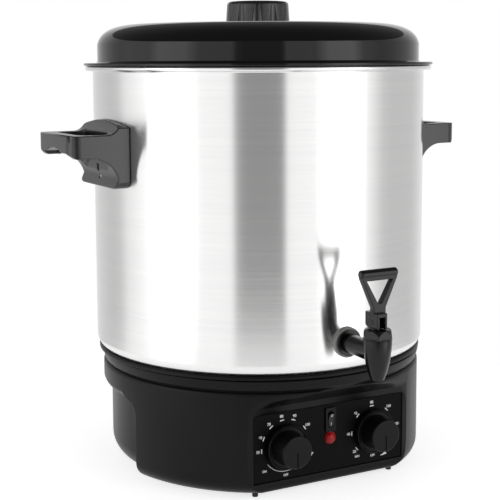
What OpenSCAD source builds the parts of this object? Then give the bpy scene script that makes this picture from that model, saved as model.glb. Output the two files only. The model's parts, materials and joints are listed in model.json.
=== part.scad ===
/* [Kettle] */
// Outer radius of the steel kettle
kettle_r = 177; // [165:0.5:195]
// Height of the kettle from its bottom to the top of its rim
kettle_h = 300.3; // [260:0.1:340]
// Thickness of the kettle's sheet
kettle_wall = 1; // [0.8:0.1:1.4]
// Outer radius of the corner between the kettle's wall and bottom
kettle_corner_r = 14; // [10:0.5:18]
// How far the rolled rim stands out from the wall
rim_out = 8; // [6:0.5:10]
// Height of the rolled rim
rim_h = 5; // [4:0.5:7]

/* [Lid] */
// How far the lid's flange stands out past the rim
lid_overhang = 1.5; // [0.5:0.5:4]
// Thickness of the lid's flange
lid_flange_t = 3; // [2:0.5:4]
// How far the lid's upright wall lies inside the kettle's radius
lid_wall_inset = 5; // [4:0.5:9]
// Height of the upright wall's top edge above the rim
lid_wall_h = 22; // [16:0.5:30]
// How far the sloping shoulder reaches inwards
lid_shoulder_w = 30; // [20:1:40]
// Height of the shoulder's inner edge above the rim
lid_shoulder_h = 42.5; // [36:0.5:50]
// Height of the lid's middle above the rim
lid_crown_h = 44; // [42:0.5:56]
// Thickness of the lid's moulding
lid_wall = 2.5; // [2:0.1:3]
// Depth of the skirt that drops into the kettle
lid_skirt_h = 8; // [5:0.5:12]
// Play between the skirt and the kettle's inside
lid_play = 2; // [1:0.5:3]
// Diameter of the lid's knob at its foot
lid_knob_d = 69; // [56:1:80]
// Height of the lid's knob
lid_knob_h = 23.5; // [18:0.5:32]
// Number of flutes round the lid's knob
lid_knob_flutes = 12; // [8:1:16]
// Radius of one flute
flute_r = 7; // [5:0.5:8]
// Depth of one flute
flute_depth = 2.2; // [1:0.1:3]

/* [Base] */
// Height of the feet below the base
foot_h = 5; // [4:0.5:10]
// Diameter of a foot
foot_d = 6; // [5:0.5:9]
// Thickness of the base's moulding
base_wall = 3; // [2.5:0.1:3.5]
// Thickness of the ring between the base and the kettle
collar_ring_h = 1.5; // [1:0.5:4]
// How far the ring's edge rises round the kettle's corner
ring_lip_h = 3; // [1:0.5:5]
// How far the ring lies inside the kettle's radius
ring_inset = 2; // [0.5:0.5:5]
// How far the collar's top lies inside the kettle's radius
collar_inset = 4.2; // [3:0.1:7]
// Height of the band below the ring
collar_band_h = 8.5; // [6:0.5:12]
// How far the band tapers in towards its lower edge
collar_taper = 1.8; // [1:0.1:3]
// Height of the rounded shoulder below the band
shoulder_h = 3.5; // [2.5:0.5:6]
// How far the shoulder draws in
shoulder_in = 1.5; // [1:0.5:3]
// How far the front apron lies inside the kettle's radius
apron_inset = 5; // [3:0.5:7]
// Height over which the apron flares out below the shoulder
apron_flare_h = 4.5; // [3:0.5:8]
// Radius of the apron's bottom edge
apron_round = 15; // [10:0.5:18]
// How far in front of the middle the apron ends on both sides
apron_end = 42; // [30:1:50]
// Corner radius at the apron's upper ends
apron_corner_r = 13; // [8:0.5:18]
// How far the rear drum lies inside the shoulder
drum_step = 6; // [5:0.5:10]
// How far below the shoulder the rear drum starts
drum_drop = 26; // [20:1:32]
// Height of the rounding from the drum out to the belt above it
belt_round_h = 13; // [8:0.5:16]
// How far the base's middle lies in front of the kettle's
base_shift = 3; // [0:0.5:4]
// Radius of the drum's bottom edge
drum_round = 22; // [18:1:30]
// From the middle of a kettle stud to the edge of the hole under the kettle
stud_edge = 5.75; // [5:0.25:9]

/* [Bottom plate] */
// Thickness of the bottom plate
plate_t = 2.5; // [2:0.1:3]
// Width of the base's flat rim around the bottom plate
plate_rim = 22; // [18:1:28]
// Number of vent slots
vent_n = 8; // [6:1:10]
// Width of a vent slot
vent_w = 5; // [3:0.5:7]
// Length of a vent slot
vent_l = 42; // [30:1:50]
// Radius of the vent slots' inner ends
vent_r = 40; // [32:1:45]

/* [Control panel] */
// Width of the control panel
panel_w = 175; // [165:1:185]
// Height of the control panel
panel_h = 68.3; // [62:0.1:76]
// Thickness of the control panel
panel_t = 3; // [2:0.5:4]
// Depth of the panel's face behind the flat front
panel_recess = 1; // [0.6:0.1:2.5]
// Width of the flat front beside the panel
panel_side = 5; // [4:0.5:8]
// Height of the panel's lower edge above the base's underside
panel_lift = 11.5; // [9:0.5:14]
// Radius of the flat front's bottom edge
flat_round = 6; // [3:0.5:8]
// Height of the flat front above the panel, up to the shoulder
panel_head = 24.2; // [20:0.1:28]
// Width of the ledge that the panel rests on
panel_ledge = 3.5; // [2.5:0.5:4]
// Distance of each knob from the panel's middle
knob_x = 52; // [48:0.5:56]
// How far the knobs' middle lies below the panel's middle
knob_low = 0.65; // [-2:0.05:3]
// Diameter of a knob's skirt
knob_skirt_d = 45; // [40:0.5:50]
// Diameter of a knob's grip
knob_grip_d = 33; // [28:0.5:36]
// Distance from the panel's face to a knob's front
knob_out = 24; // [20:0.5:28]
// Distance from the panel's face to the skirt's rim
knob_skirt_out = 7; // [5:0.5:9]
// Width of the pointer groove in a knob's front
pointer_w = 1.2; // [0.8:0.1:2]
// Diameter of the knobs' shafts
shaft_d = 6; // [5:0.5:8]
// Diameter of the bushes that carry the shafts
bush_d = 10; // [9:0.5:12]
// Diameter of the pilot lamp
lamp_d = 12.6; // [10:0.2:14]
// From the panel's upper edge down to the lamp's middle
lamp_drop = 34.6; // [34.4:0.1:38]
// Width of the switch's frame
switch_w = 12; // [11:0.5:16]
// Height of the switch's frame
switch_h = 24.5; // [22:0.5:26]
// From the panel's upper edge down to the switch's middle
switch_drop = 15.3; // [14.2:0.1:15.5]
// Width of the switch's rocker
rocker_w = 6.4; // [5:0.1:7]
// Height of the switch's rocker
rocker_h = 16.6; // [14:0.1:18]
// Angle that the rocker swings through
rocker_swing = 16; // [12:1:20]

/* [Handles] */
// Distance from the rim down to the middle of the grips
handle_drop = 75.3; // [60:0.1:110]
// How far the handles stand out from the kettle
handle_out = 56; // [50:0.5:70]
// Length of a handle along the kettle
handle_w = 96; // [84:1:110]
// Height of the grip
grip_h = 17.5; // [15:0.5:22]
// Thickness of the grip
grip_t = 16; // [14:0.5:20]
// Width of each arm
arm_w = 12; // [10:0.5:15]
// How far an arm's underside lies below the grip's
arm_drop = 5; // [3:0.5:7]
// Radius of the curve under the arms
arm_curve_r = 28.5; // [24:0.5:30]
// Outer corner radius of the handle
handle_corner_r = 12; // [8:0.5:14]
// Height of the mounting plate above the grip's middle
handle_plate_up = 22; // [18:0.5:28]
// Depth of the mounting plate below the grip's middle
handle_plate_down = 45; // [42:0.5:52]
// Rise of the plate's arched top
handle_arch = 6.4; // [3:0.2:8]
// Thickness of the mounting plate at its middle
handle_plate_t = 9.5; // [8:0.5:12]
// Width of the arch in the grip's lower edge
grip_arch_w = 42; // [30:1:60]
// Height of the arch in the grip's lower edge
grip_arch_h = 4; // [2:0.5:5]
// Diameter of the handles' screws
handle_screw_d = 5; // [4:0.5:6]

/* [Tap] */
// Height of the tap's shank above the kettle's bottom
tap_rise = 32.5; // [28:0.5:60]
// Distance of the spout's middle from the kettle
tap_out = 52; // [46:0.5:62]
// Diameter of the spout's body at its top
tap_body_d = 27.5; // [26:0.5:32]
// Height of the spout's body above the shank's middle
tap_body_up = 14; // [13:0.5:18]
// Depth of the spout below the shank's middle
tap_body_down = 25; // [23:0.5:27]
// Outer diameter of the spout's mouth
spout_d = 13; // [12:0.5:15]
// Bore of the spout's mouth
outlet_d = 8; // [6:0.5:8.5]
// Bore of the valve chamber
chamber_d = 20; // [19:0.5:20.5]
// Outer diameter of the shank
shank_d = 19; // [18:0.5:21]
// Diameter of the threaded end that passes through the kettle
thread_d = 17.5; // [16:0.5:17.5]
// Bore of the shank
shank_bore = 10; // [8:0.5:10.5]
// Diameter of the flange
flange_d = 26; // [24:0.5:28]
// Thickness of the flange
flange_t = 3; // [2:0.5:4]
// Diameter of the washer between the flange and the kettle
washer_d = 30; // [29:0.5:34]
// Thickness of the washer
washer_t = 2.5; // [2:0.5:4]
// Width of the nut inside the kettle, across its flats
nut_af = 27; // [25:0.5:32]
// Height of the nut inside the kettle
nut_h = 8; // [6:0.5:10]
// Width of the bonnet across its flats
bonnet_af = 25.5; // [24:0.5:26]
// Height of the bonnet
bonnet_h = 9.5; // [8:0.5:12]
// Diameter of the valve stem
stem_d = 6; // [5:0.5:6.5]
// Angle that the lever tilts through
lever_tilt = 45; // [30:1:50]
// How far the lever lifts the stem
stem_lift = 5; // [3:0.5:5.5]
// Height of the lever's pivot above its foot
pivot_h = 6.4; // [6:0.1:8]
// Width of the lever's foot
foot_w = 11.6; // [11:0.2:14]
// Depth of the foot in front of the pivot
foot_front = 7.5; // [6:0.5:9]
// Height of the foot's top above the pivot
foot_top = 9; // [8:0.5:11]
// Height of the crossbar above the pivot
lever_h = 46; // [40:0.5:55]
// Length of the crossbar
bar_l = 41; // [36:0.5:48]
// Diameter of the crossbar
bar_d = 8.6; // [8:0.2:11]
// Thickness of the loop
loop_t = 7; // [6:0.5:8]
// Width of the loop's legs
leg_w = 6.2; // [5:0.2:7]
// Diameter of the lever's pin
pin_d = 3; // [2.5:0.1:3.2]

/* [Heating] */
// Radius of the heating plate
heater_r = 112; // [95:1:125]
// Thickness of the heating plate
heater_t = 6; // [4:0.5:8]
// Radius of the heating element's ring
element_r = 88; // [75:1:90]
// Diameter of the heating element
element_d = 8.4; // [7:0.2:10]
// Gap in the element's ring, in degrees
element_gap = 40; // [30:1:60]
// Diameter of the studs below the kettle
stud_d = 5; // [4:0.5:6]
// Number of studs
stud_n = 3; // [3:3:3]

/* [Clearances] */
// Gap round a piece that is set into another
fit_gap = 0.3; // [0.2:0.05:0.4]
// Gap between a turning pin or shaft and its bore, measured at the radius
run_gap = 0.05; // [0.02:0.01:0.08]
// Gap between curved faces that seat on one another
seat_gap = 0.2; // [0.1:0.05:0.3]

/* [Hidden] */
$fn = 128;
over = 1;
far = 400;
edge_r = 1;
end_gap = 0.5;

// Heights above the floor, from the feet up
z_base = foot_h;
z_panel = z_base + panel_lift;
z_panel_top = z_panel + panel_h;
z_valley = z_panel_top + panel_head;
z_apron = z_valley - apron_flare_h;
z_band = z_valley + shoulder_h;
z_drum = z_valley - drum_drop;
z_belt = z_drum + belt_round_h;
z_ring = z_band + collar_band_h;
z_seat = z_ring + collar_ring_h;
z_rim = z_seat + kettle_h;
z_lip = z_seat + ring_lip_h;

// Radii of the base, which follow the kettle
ring_r = kettle_r - ring_inset;
collar_r = kettle_r - collar_inset;
band_r = collar_r - collar_taper;
valley_r = band_r - shoulder_in;
drum_r = valley_r - drum_step;
apron_r = kettle_r - apron_inset;
drum_floor_r = drum_r - drum_round;
drum_back = drum_r - base_shift;
plate_r = drum_floor_r - plate_rim;
kettle_in_r = kettle_r - kettle_wall;
ring_lip_a = asin((ring_lip_h - kettle_corner_r) / (kettle_corner_r + seat_gap));
ring_seat_a = -80;

// The flat front is a chord of the apron, just wide enough for the panel
flat_d = base_shift + sqrt(pow(apron_r, 2) - pow(panel_w / 2 + panel_side, 2));
panel_d = flat_d - panel_recess;
panel_back_d = panel_d - panel_t;
flat_in_d = panel_back_d - base_wall;
flat_blend_run = 20;
flat_blend_h = panel_head - flat_blend_run;

// The part stands with the middle of its outline over the origin
tap_reach = kettle_r + tap_out;
lid_r = kettle_r + rim_out + lid_overhang;
axis_y = (tap_reach + tap_body_d / 2 - lid_r) / 2;

// Lid
lid_wall_r = kettle_r - lid_wall_inset;
lid_crown_r = lid_wall_r - lid_shoulder_w;
lid_skirt_r = kettle_in_r - lid_play;
lid_z = z_rim + seat_gap;
lid_round = 3.5;
lid_fillet_r = 2.5;
lid_lap_w = 4;
lid_lap_t = lid_wall / 2;
lid_knob_draft = 1.5;
lid_knob_edge_r = 4;
lid_screw_d = 5;
lid_screw_grip = 14;
lid_screw_head_d = 12;
lid_screw_head_h = 3;

// Base details
boss_inset = 4;
screw_d = 3;
screw_head_d = 6;
screw_head_h = 1.8;
foot_stem_d = foot_d - 2;
foot_stem_h = 2.6;
foot_in_x = 7.5;
foot_in_y = 12.5;
foot_x = panel_w / 2 - foot_in_x;
foot_y = flat_d - foot_in_y;
rear_foot_r = (plate_r + drum_floor_r) / 2;
lip_w = 8;
gland_d = 12;
gland_flange_d = 18;
gland_bore = 7.5;
gland_rise = 12;
gland_taper_h = 2;
gland_flange_t = 3;
gland_out = gland_taper_h + gland_flange_t;
gland_in = 6;
gland_l = gland_out + base_wall + gland_in;
gland_z = z_base + drum_round + gland_rise;
hollow_front_h = 6;
panel_gap = 0.5;
belt_fade = 30;

// The studs stand as near to the base's wall as their nuts allow
stud_nut_af = stud_d * 1.6;
stud_nut_h = stud_d * 0.8;
stud_past = 2;
nut_gap = 1.1;
stud_r = valley_r - base_shift - base_wall - stud_nut_af / cos(30) / 2 - nut_gap;
base_mouth_r = stud_r - stud_edge;

// Panel details
knob_rise = panel_h / 2 - knob_low;
z_knob = z_panel + knob_rise;
lamp_rise = panel_h - lamp_drop;
z_lamp = z_panel + lamp_rise;
switch_rise = panel_h - switch_drop;
z_switch = z_panel + switch_rise;
knob_gap = 1;
knob_face_t = 5;
knob_bore_out = knob_out - knob_face_t;
knob_hub_gap = 2;
skirt_rim_w = 2.5;
skirt_dip = 1.5;
grip_edge_r = 1.5;
pointer_depth = 0.9;
bush_out = 3;
shaft_floor = 4;
shaft_flat = 1.5;
device_plate_t = 2;
device_plate_h = 30;
device_plate_over = 4;
lamp_lip = 1.2;
lamp_hole_d = lamp_d - 2 * lamp_lip;
lamp_case_d = lamp_hole_d + 4;
lamp_tab_x = 3;
lens_rim_w = 0.6;
lens_dome_h = 3.6;
frame_out = 2;
frame_lip_w = 0.5;
frame_lip_h = 1.25;
switch_body_w = switch_w - 2 * frame_lip_w;
switch_body_h = switch_h - 2 * frame_lip_h;
rocker_pivot = 1;
rocker_face = 3.4;
rocker_room = 4;
trunnion_d = 2.5;
trunnion_l = rocker_w + 2.4;

// Handles
z_grip = z_rim - handle_drop;
z_grip_top = z_grip + grip_h / 2;
z_grip_low = z_grip - grip_h / 2;
z_arm_low = z_grip_low - arm_drop;
z_handle_top = z_grip + handle_plate_up;
z_handle_low = z_grip - handle_plate_down;
handle_r = kettle_r + handle_out;
handle_plate_r = kettle_r + handle_plate_t;
handle_screw_top = 15;
handle_screw_low = 9;
handle_screw_z = [z_handle_top - handle_screw_top, z_handle_low + handle_screw_low];
handle_skin = 2;
handle_slot_w = 5;
handle_slot_h = 7;
handle_slot_up = 19;
handle_slot_z = z_handle_low + handle_slot_up;
handle_head_d = handle_screw_d * 1.8;
handle_head_h = handle_screw_d * 0.6;
plate_top_t = 4;
plate_corner_r = 8;
finger_corner_r = 8;
handle_edge_r = 2;
grip_taper = 7;
arm_curve_in = 4;
arm_curve_end = 165;
grip_arch_r = (pow(grip_arch_w / 2, 2) + pow(grip_arch_h, 2)) / (2 * grip_arch_h);

// Tap heights
z_tap = z_seat + tap_rise;
z_body_top = z_tap + tap_body_up;
z_spout = z_tap - tap_body_down;
chamber_floor = 3;
z_chamber = z_tap - shank_bore / 2 - chamber_floor;
z_bonnet = z_body_top + bonnet_h;
z_pivot = z_bonnet + fit_gap + pivot_h;
bonnet_plug_h = 6;
bonnet_top_t = 3;
bonnet_ring_h = 1.5;
bonnet_plug_wall = 3.5;
bonnet_chamfer = 1;
bonnet_slope = 8;
spring_room_d = chamber_d - 2 * bonnet_plug_wall;
seat_h = 5;
seat_room = 2.5;
seat_step_w = 1.5;
seat_step_h = 1.5;
seat_d = chamber_d - 2 * seat_room;
stem_collar_room = 0.75;
stem_collar_d = spring_room_d - 2 * stem_collar_room;
stem_collar_t = 2;
stem_past = 3.4;
z_collar = z_tap + shank_bore / 2 - chamber_floor;
spout_swell = 0.4;
thread_past = 5;
gasket_t = 2;
thread_start = kettle_in_r - nut_h - thread_past;
washer_r = kettle_r + seat_gap + washer_t;
neck_rise = 5;
window_rise = 5.5;
window_drop = 2.4;
window_w = 2.4;
window_r = 1.5;
bar_edge_r = 2;
foot_slot_top = 5;
spring_wire = 1.1;
spring_turns = 6;
spring_r = stem_d / 2 + (stem_collar_d - stem_d) / 4;

// The heel of the lever's foot is the involute whose lift grows evenly with the tilt
heel_rate = stem_lift / (lever_tilt * PI / 180);
function heel(a) = let (h = pivot_h + heel_rate * a * PI / 180)
    [h * sin(a) + heel_rate * cos(a), -h * cos(a) + heel_rate * sin(a)];

// Heating
z_heater = z_seat - heater_t;
z_element = z_heater - element_d / 2 - seat_gap;
element_end_h = 16;
element_end_d = element_d + 1.2;
element_pin_l = 8;
cutout_d = 16;
cutout_h = 9;
cutout_y = 40;
cutout_tab_x = 6;
bulb_d = 6;
bulb_l = 70;
bulb_y = 45;
z_bulb = z_heater - bulb_d / 2 - seat_gap;
capillary_d = 1.6;
wire_d = 2.4;
thermostat_d = 38;
thermostat_depth = 26;
timer_d = 42;
timer_depth = 32;
tab_t = 0.8;
tab_w = 6;
tab_l = 7;
lamp_depth = 24;
switch_depth = 20;
terminal = [24, 40, z_base + plate_t];
terminal_size = [46, 20, 18];
terminal_n = 5;
terminal_pitch = 9;
terminal_first = 5;
terminal_hole_d = 5;
terminal_floor = 6;
lead_bend = 6;
lead_straight = 14;

// Routes inside the base, from one fixed end to the other
capillary_route = [
    [-knob_x, thermostat_depth - panel_back_d + seat_gap, z_knob], [-52, -108, z_knob + 2],
    [-58, -94, 72], [-58, -76, 98], [-50, -54, 111],
    [-bulb_l / 2 - lead_bend, -bulb_y, z_bulb], [-bulb_l / 2 - seat_gap, -bulb_y, z_bulb]];
function terminal_end(i) = terminal
    + [terminal_first + terminal_pitch * i, terminal_size[1] / 2, terminal_floor + end_gap];
function above(p, h) = [p[0], p[1], p[2] + h];
function leads_up(i) = [terminal_end(i), above(terminal_end(i), 13), above(terminal_end(i), 21)];
function tab_off(case_d) = (case_d / 3 - tab_t / 2) * cos(45);
function tab_end(x, case_d, depth) =
    [x, depth + tab_l + seat_gap - panel_back_d, z_knob - tab_off(case_d)];
thermostat_tab = tab_end(-knob_x - tab_off(thermostat_d), thermostat_d, thermostat_depth);
timer_tab = tab_end(knob_x - tab_off(timer_d), timer_d, timer_depth);
function behind(p, d) = [p[0], p[1] + d, p[2]];
element_pin_y = element_r * cos(element_gap / 2);
element_pin_x = element_r * sin(element_gap / 2);
z_element_pin = z_element - element_end_h - element_pin_l - seat_gap;
function pin_end(side, h) = [side * element_pin_x, element_pin_y, z_element_pin - h];
switch_end = [2, switch_depth - panel_d + seat_gap, z_switch + 4];
lamp_end = [lamp_tab_x, lamp_depth + tab_l - panel_back_d + seat_gap, z_lamp];
wire_routes = [
    concat(leads_up(0), [[20, 10, 62], [4, -60, 72], behind(switch_end, lead_straight), switch_end]),
    concat(leads_up(1), [[30, 0, 52], [8, -70, 50], behind(lamp_end, lead_straight), lamp_end]),
    concat(leads_up(2), [[46, 10, 46], [44, -60, 42],
        behind(timer_tab, lead_straight), behind(timer_tab, lead_bend), timer_tab]),
    concat(leads_up(3), [[48, 66, 64],
        pin_end(1, lead_straight) + [3, -2, 0], pin_end(1, lead_bend), pin_end(1, 0)]),
    [thermostat_tab, behind(thermostat_tab, lead_bend), behind(thermostat_tab, lead_straight),
        [-66, -40, 60], [-52, 50, 68],
        pin_end(-1, lead_straight) - [2, 4, 0], pin_end(-1, lead_bend), pin_end(-1, 0)]];

// Outline helpers
function smooth(t) = t * t * (3 - 2 * t);
function s_curve(p, q, n) = [for (i = [0:n]) let (t = i / n)
    [p[0] + (q[0] - p[0]) * smooth(t), p[1] + (q[1] - p[1]) * t]];
function arc(c, r, a, b, n) = [for (i = [0:n]) let (t = a + (b - a) * i / n) c + r * [cos(t), sin(t)]];
function bezier(p, c, q, n) = [for (i = [0:n]) let (t = i / n)
    pow(1 - t, 2) * p + 2 * t * (1 - t) * c + t * t * q];
function round_box(w, h, r) = concat(
    arc([w / 2 - r, h / 2 - r], r, 0, 90, 6), arc([r - w / 2, h / 2 - r], r, 90, 180, 6),
    arc([r - w / 2, r - h / 2], r, 180, 270, 6), arc([w / 2 - r, r - h / 2], r, 270, 360, 6));

// A smooth curve through the points of a route, and a tube swept along it without twisting
function unit(v) = v / norm(v);
function between(p, i, t) = let (
        a = p[max(i - 1, 0)], b = p[i], c = p[i + 1], d = p[min(i + 2, len(p) - 1)])
    0.5 * (2 * b + (c - a) * t + (2 * a - 5 * b + 4 * c - d) * t * t + (3 * b - a - 3 * c + d) * t * t * t);
function curve(p, steps) = concat(
    [for (i = [0:len(p) - 2]) for (k = [0:steps - 1]) between(p, i, k / steps)], [p[len(p) - 1]]);
function heading(p, i) = unit(p[min(i + 1, len(p) - 1)] - p[max(i - 1, 0)]);
function level(u, w) = unit(u - (u * w) * w);
function sides_of(p) = [for (i = 0, u = level([1, 2, 3], heading(p, 0)); i < len(p);
    i = i + 1, u = level(u, heading(p, min(i, len(p) - 1)))) u];
function tube_ring(c, u, v, sides) = [for (j = [0:sides - 1]) let (a = 360 * j / sides)
    c + cos(a) * u + sin(a) * v];

module tube(route, d, sides = 8, steps = 3) {
    p = curve(route, steps);
    side = sides_of(p) * d / 2;
    last = len(p) - 1;
    polyhedron(
        points = [for (i = [0:last]) each tube_ring(p[i], side[i], cross(heading(p, i), side[i]), sides)],
        faces = concat(
            [[for (j = [0:sides - 1]) j]],
            [for (i = [0:last - 1]) for (j = [0:sides - 1]) let (k = (j + 1) % sides, q = i * sides)
                each [[q + j, q + sides + j, q + sides + k], [q + j, q + sides + k, q + k]]],
            [[for (j = [sides - 1:-1:0]) last * sides + j]]));
}

// Placing helpers
module at_axis() translate([0, axis_y, 0]) children();
module at_base() translate([0, -base_shift, 0]) children();
module across(w) rotate([90, 0, 90]) linear_extrude(w, center = true) children();
module to_front() rotate([90, 0, 0]) children();
module on_panel(x, z) at_axis() translate([x, -panel_d, z]) to_front() children();
module at_tap() at_axis() translate([0, -tap_reach, 0]) children();
module on_shank(d) at_axis() translate([0, -d, z_tap]) to_front() children();
module tube_cut(d, h) translate([0, 0, -over]) cylinder(d = d, h = h + 2 * over);
module screw(d, l, head_d, head_h) {
    cylinder(d = d, h = l);
    translate([0, 0, -head_h]) cylinder(d = head_d, h = head_h);
}
module both_sides() {
    children();
    mirror([1, 0, 0]) children();
}

// Kettle and what is fixed below it
module kettle_profile() polygon(concat(
    [[0, z_seat]],
    arc([kettle_r - kettle_corner_r, z_seat + kettle_corner_r], kettle_corner_r, -90, 0, 8),
    [[kettle_r, z_rim - rim_h]],
    arc([kettle_r + rim_out - rim_h / 2, z_rim - rim_h / 2], rim_h / 2, -90, 90, 10),
    [[kettle_in_r, z_rim]],
    arc([kettle_r - kettle_corner_r, z_seat + kettle_corner_r], kettle_corner_r - kettle_wall, 0, -90, 8),
    [[0, z_seat + kettle_wall]]));

module kettle() color("silver") at_axis() difference() {
    rotate_extrude() kettle_profile();
    translate([0, -kettle_r + kettle_corner_r, z_tap]) to_front()
        cylinder(d = thread_d + 2 * fit_gap, h = 2 * kettle_corner_r);
    for (z = handle_screw_z) translate([0, 0, z]) rotate([0, 90, 0])
        cylinder(d = handle_screw_d + 2 * fit_gap, h = far, center = true);
}

module heating_plate() color("lightgrey") at_axis() translate([0, 0, z_heater])
    cylinder(r = heater_r, h = heater_t);

module heating_element() color("dimgray") at_axis() rotate(90 + element_gap / 2) {
    translate([0, 0, z_element]) rotate_extrude(angle = 360 - element_gap)
        translate([element_r, 0]) circle(d = element_d);
    for (a = [0, -element_gap]) rotate(a) translate([element_r, 0, z_element - element_end_h]) {
        cylinder(d = element_end_d, h = element_end_h + element_d / 2);
        translate([0, 0, -element_pin_l]) cylinder(d = element_d / 3, h = element_pin_l + over);
    }
}

module tabs(x) for (s = [-1, 1]) translate([s * x - tab_t / 2, -tab_w / 2, -tab_l])
    cube([tab_t, tab_w, tab_l + over]);

module thermal_cutout() color("black") at_axis() translate([0, cutout_y, z_heater - cutout_h]) {
    cylinder(d = cutout_d, h = cutout_h);
    tabs(cutout_tab_x);
}

module sensor_bulb() color("peru") at_axis() translate([-bulb_l / 2, -bulb_y, z_bulb])
    rotate([0, 90, 0]) cylinder(d = bulb_d, h = bulb_l);

module capillary() color("peru") at_axis() tube(capillary_route, capillary_d);

module wiring() color("sienna") at_axis() for (route = wire_routes) tube(route, wire_d);

module at_studs() for (i = [0:stud_n - 1]) rotate(90 + 360 * i / stud_n)
    translate([stud_r, 0, 0]) children();

module kettle_studs() color("silver") at_axis() at_studs()
    translate([0, 0, z_ring - base_wall - stud_nut_h - stud_past])
        cylinder(d = stud_d, h = collar_ring_h + base_wall + stud_nut_h + stud_past);

module stud_nuts() color("silver") at_axis() at_studs()
    translate([0, 0, z_ring - base_wall - stud_nut_h]) difference() {
        cylinder(d = stud_nut_af / cos(30), h = stud_nut_h, $fn = 6);
        tube_cut(stud_d + 2 * run_gap, stud_nut_h);
    }

// Base
// The ring lies on the base, and its outer edge follows the kettle's corner
module collar_ring() color([0.1, 0.1, 0.1]) at_axis() difference() {
    rotate_extrude() polygon(concat([
        [base_mouth_r, z_ring], [ring_r - edge_r, z_ring], [ring_r, z_ring + edge_r]],
        [[ring_r, z_lip - edge_r], [ring_r - edge_r, z_lip]],
        arc([kettle_r - kettle_corner_r, z_seat + kettle_corner_r], kettle_corner_r + seat_gap,
            ring_lip_a, ring_seat_a, 6),
        [[kettle_r - kettle_corner_r, z_seat], [base_mouth_r, z_seat]]));
    at_studs() translate([0, 0, z_ring]) tube_cut(stud_d + 2 * fit_gap, collar_ring_h);
}

// The base's outline as the front shows it, from the underside up to the collar
module base_profile() polygon(concat(
    [[0, z_base]],
    arc([apron_r - apron_round, z_base + apron_round], apron_round, -90, 0, 8),
    bezier([apron_r, z_apron], [apron_r, z_valley], [valley_r, z_valley], 8),
    s_curve([valley_r, z_valley], [band_r, z_band], 6),
    [[collar_r, z_ring - edge_r], [collar_r - edge_r, z_ring], [0, z_ring]]));

// What lies outside the smaller drum at the rear, up to the belt that overhangs it
module drum_cut_profile() polygon(concat(
    [[drum_floor_r, z_base - over]],
    arc([drum_floor_r, z_base + drum_round], drum_round, -90, 0, 10),
    bezier([drum_r, z_drum], [apron_r, z_drum], [apron_r + over, z_belt], 8),
    [[far, z_belt], [far, z_base - over]]));

module rear_recess() intersection() {
    at_base() rotate_extrude() drum_cut_profile();
    across(2 * far) polygon(concat(
        [[-apron_end, z_base - 2 * over]],
        arc([apron_corner_r - apron_end, z_drum - apron_corner_r], apron_corner_r, 180, 90, 6),
        [[apron_corner_r - apron_end + belt_fade, z_belt + over]],
        [[far, z_belt + over], [far, z_base - 2 * over]]));
}

module flat_front() across(2 * far) polygon(concat(
    [[-far, z_base - over], [flat_round - flat_d, z_base - over]],
    arc([flat_round - flat_d, z_base + flat_round], flat_round, -90, -180, 6),
    s_curve([-flat_d, z_panel_top + flat_blend_h], [-valley_r - base_shift, z_valley], 10),
    [[-far, z_valley]]));

module base_hollow() {
    z_floor = z_base + plate_t + base_wall;
    in_round = drum_round - base_wall - plate_t;
    intersection() {
        union() {
            at_base() rotate_extrude() polygon(concat(
                [[0, z_floor]],
                arc([drum_r - base_wall - in_round, z_floor + in_round], in_round, -90, 0, 8),
                [[drum_r - base_wall, z_drum + base_wall], [valley_r - base_wall, z_belt + base_wall]],
                [[valley_r - base_wall, z_ring - base_wall], [0, z_ring - base_wall]]));
            intersection() {
                at_base() rotate_extrude() polygon(concat(
                    [[0, z_base + base_wall + run_gap]],
                    arc([apron_r - apron_round, z_base + apron_round], apron_round - base_wall, -89, 0, 8),
                    [[apron_r - base_wall, z_apron - over], [0, z_apron - over]]));
                translate([-far, -far - apron_end - base_wall, z_base]) cube([2 * far, far, far]);
            }
        }
        across(2 * far) polygon([
            [-flat_in_d, z_base], [-flat_in_d, z_panel_top + flat_blend_h],
            [-drum_r, z_valley + hollow_front_h], [-drum_r, z_ring], [far, z_ring], [far, z_base]]);
    }
}

module foot_places() {
    both_sides() translate([foot_x, -foot_y, 0]) children();
    both_sides() rotate(45) translate([rear_foot_r, 0, 0]) children();
}

module plate_screw_places() for (a = [0:90:270]) rotate(a)
    translate([plate_r - boss_inset, 0, 0]) children();

module base_housing() color([0.1, 0.1, 0.1]) at_axis() difference() {
    at_base() rotate_extrude() base_profile();
    rear_recess();
    flat_front();
    base_hollow();
    translate([0, -panel_back_d, z_panel + panel_h / 2]) to_front() {
        linear_extrude(far) square([panel_w + 2 * panel_gap, panel_h + 2 * panel_gap], center = true);
        translate([0, 0, -base_wall - over]) linear_extrude(far)
            square([panel_w - 2 * panel_ledge, panel_h - 2 * panel_ledge], center = true);
    }
    translate([0, 0, z_ring - base_wall]) tube_cut(2 * base_mouth_r, base_wall);
    translate([0, 0, z_base - over]) cylinder(r = plate_r + fit_gap, h = plate_t + over);
    translate([0, 0, z_base]) tube_cut(2 * (plate_r - lip_w), plate_t + base_wall);
    plate_screw_places() translate([0, 0, z_base]) tube_cut(screw_d + 2 * run_gap, plate_t + base_wall);
    foot_places() translate([0, 0, z_base - over])
        cylinder(d = foot_stem_d + 2 * run_gap, h = foot_stem_h + over);
    at_studs() translate([0, 0, z_ring - base_wall]) tube_cut(stud_d + 2 * fit_gap, base_wall);
    translate([0, drum_back + over, gland_z]) to_front()
        cylinder(d = gland_d + 2 * fit_gap, h = base_wall + 3 * over);
}

module bottom_plate() color([0.15, 0.15, 0.15]) at_axis() translate([0, 0, z_base]) difference() {
    cylinder(r = plate_r, h = plate_t);
    for (i = [0:vent_n - 1]) rotate(360 * (i + 0.5) / vent_n)
        translate([vent_r, -vent_w / 2, -over]) cube([vent_l, vent_w, plate_t + 2 * over]);
    plate_screw_places() tube_cut(screw_d + 2 * fit_gap, plate_t);
}

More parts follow.
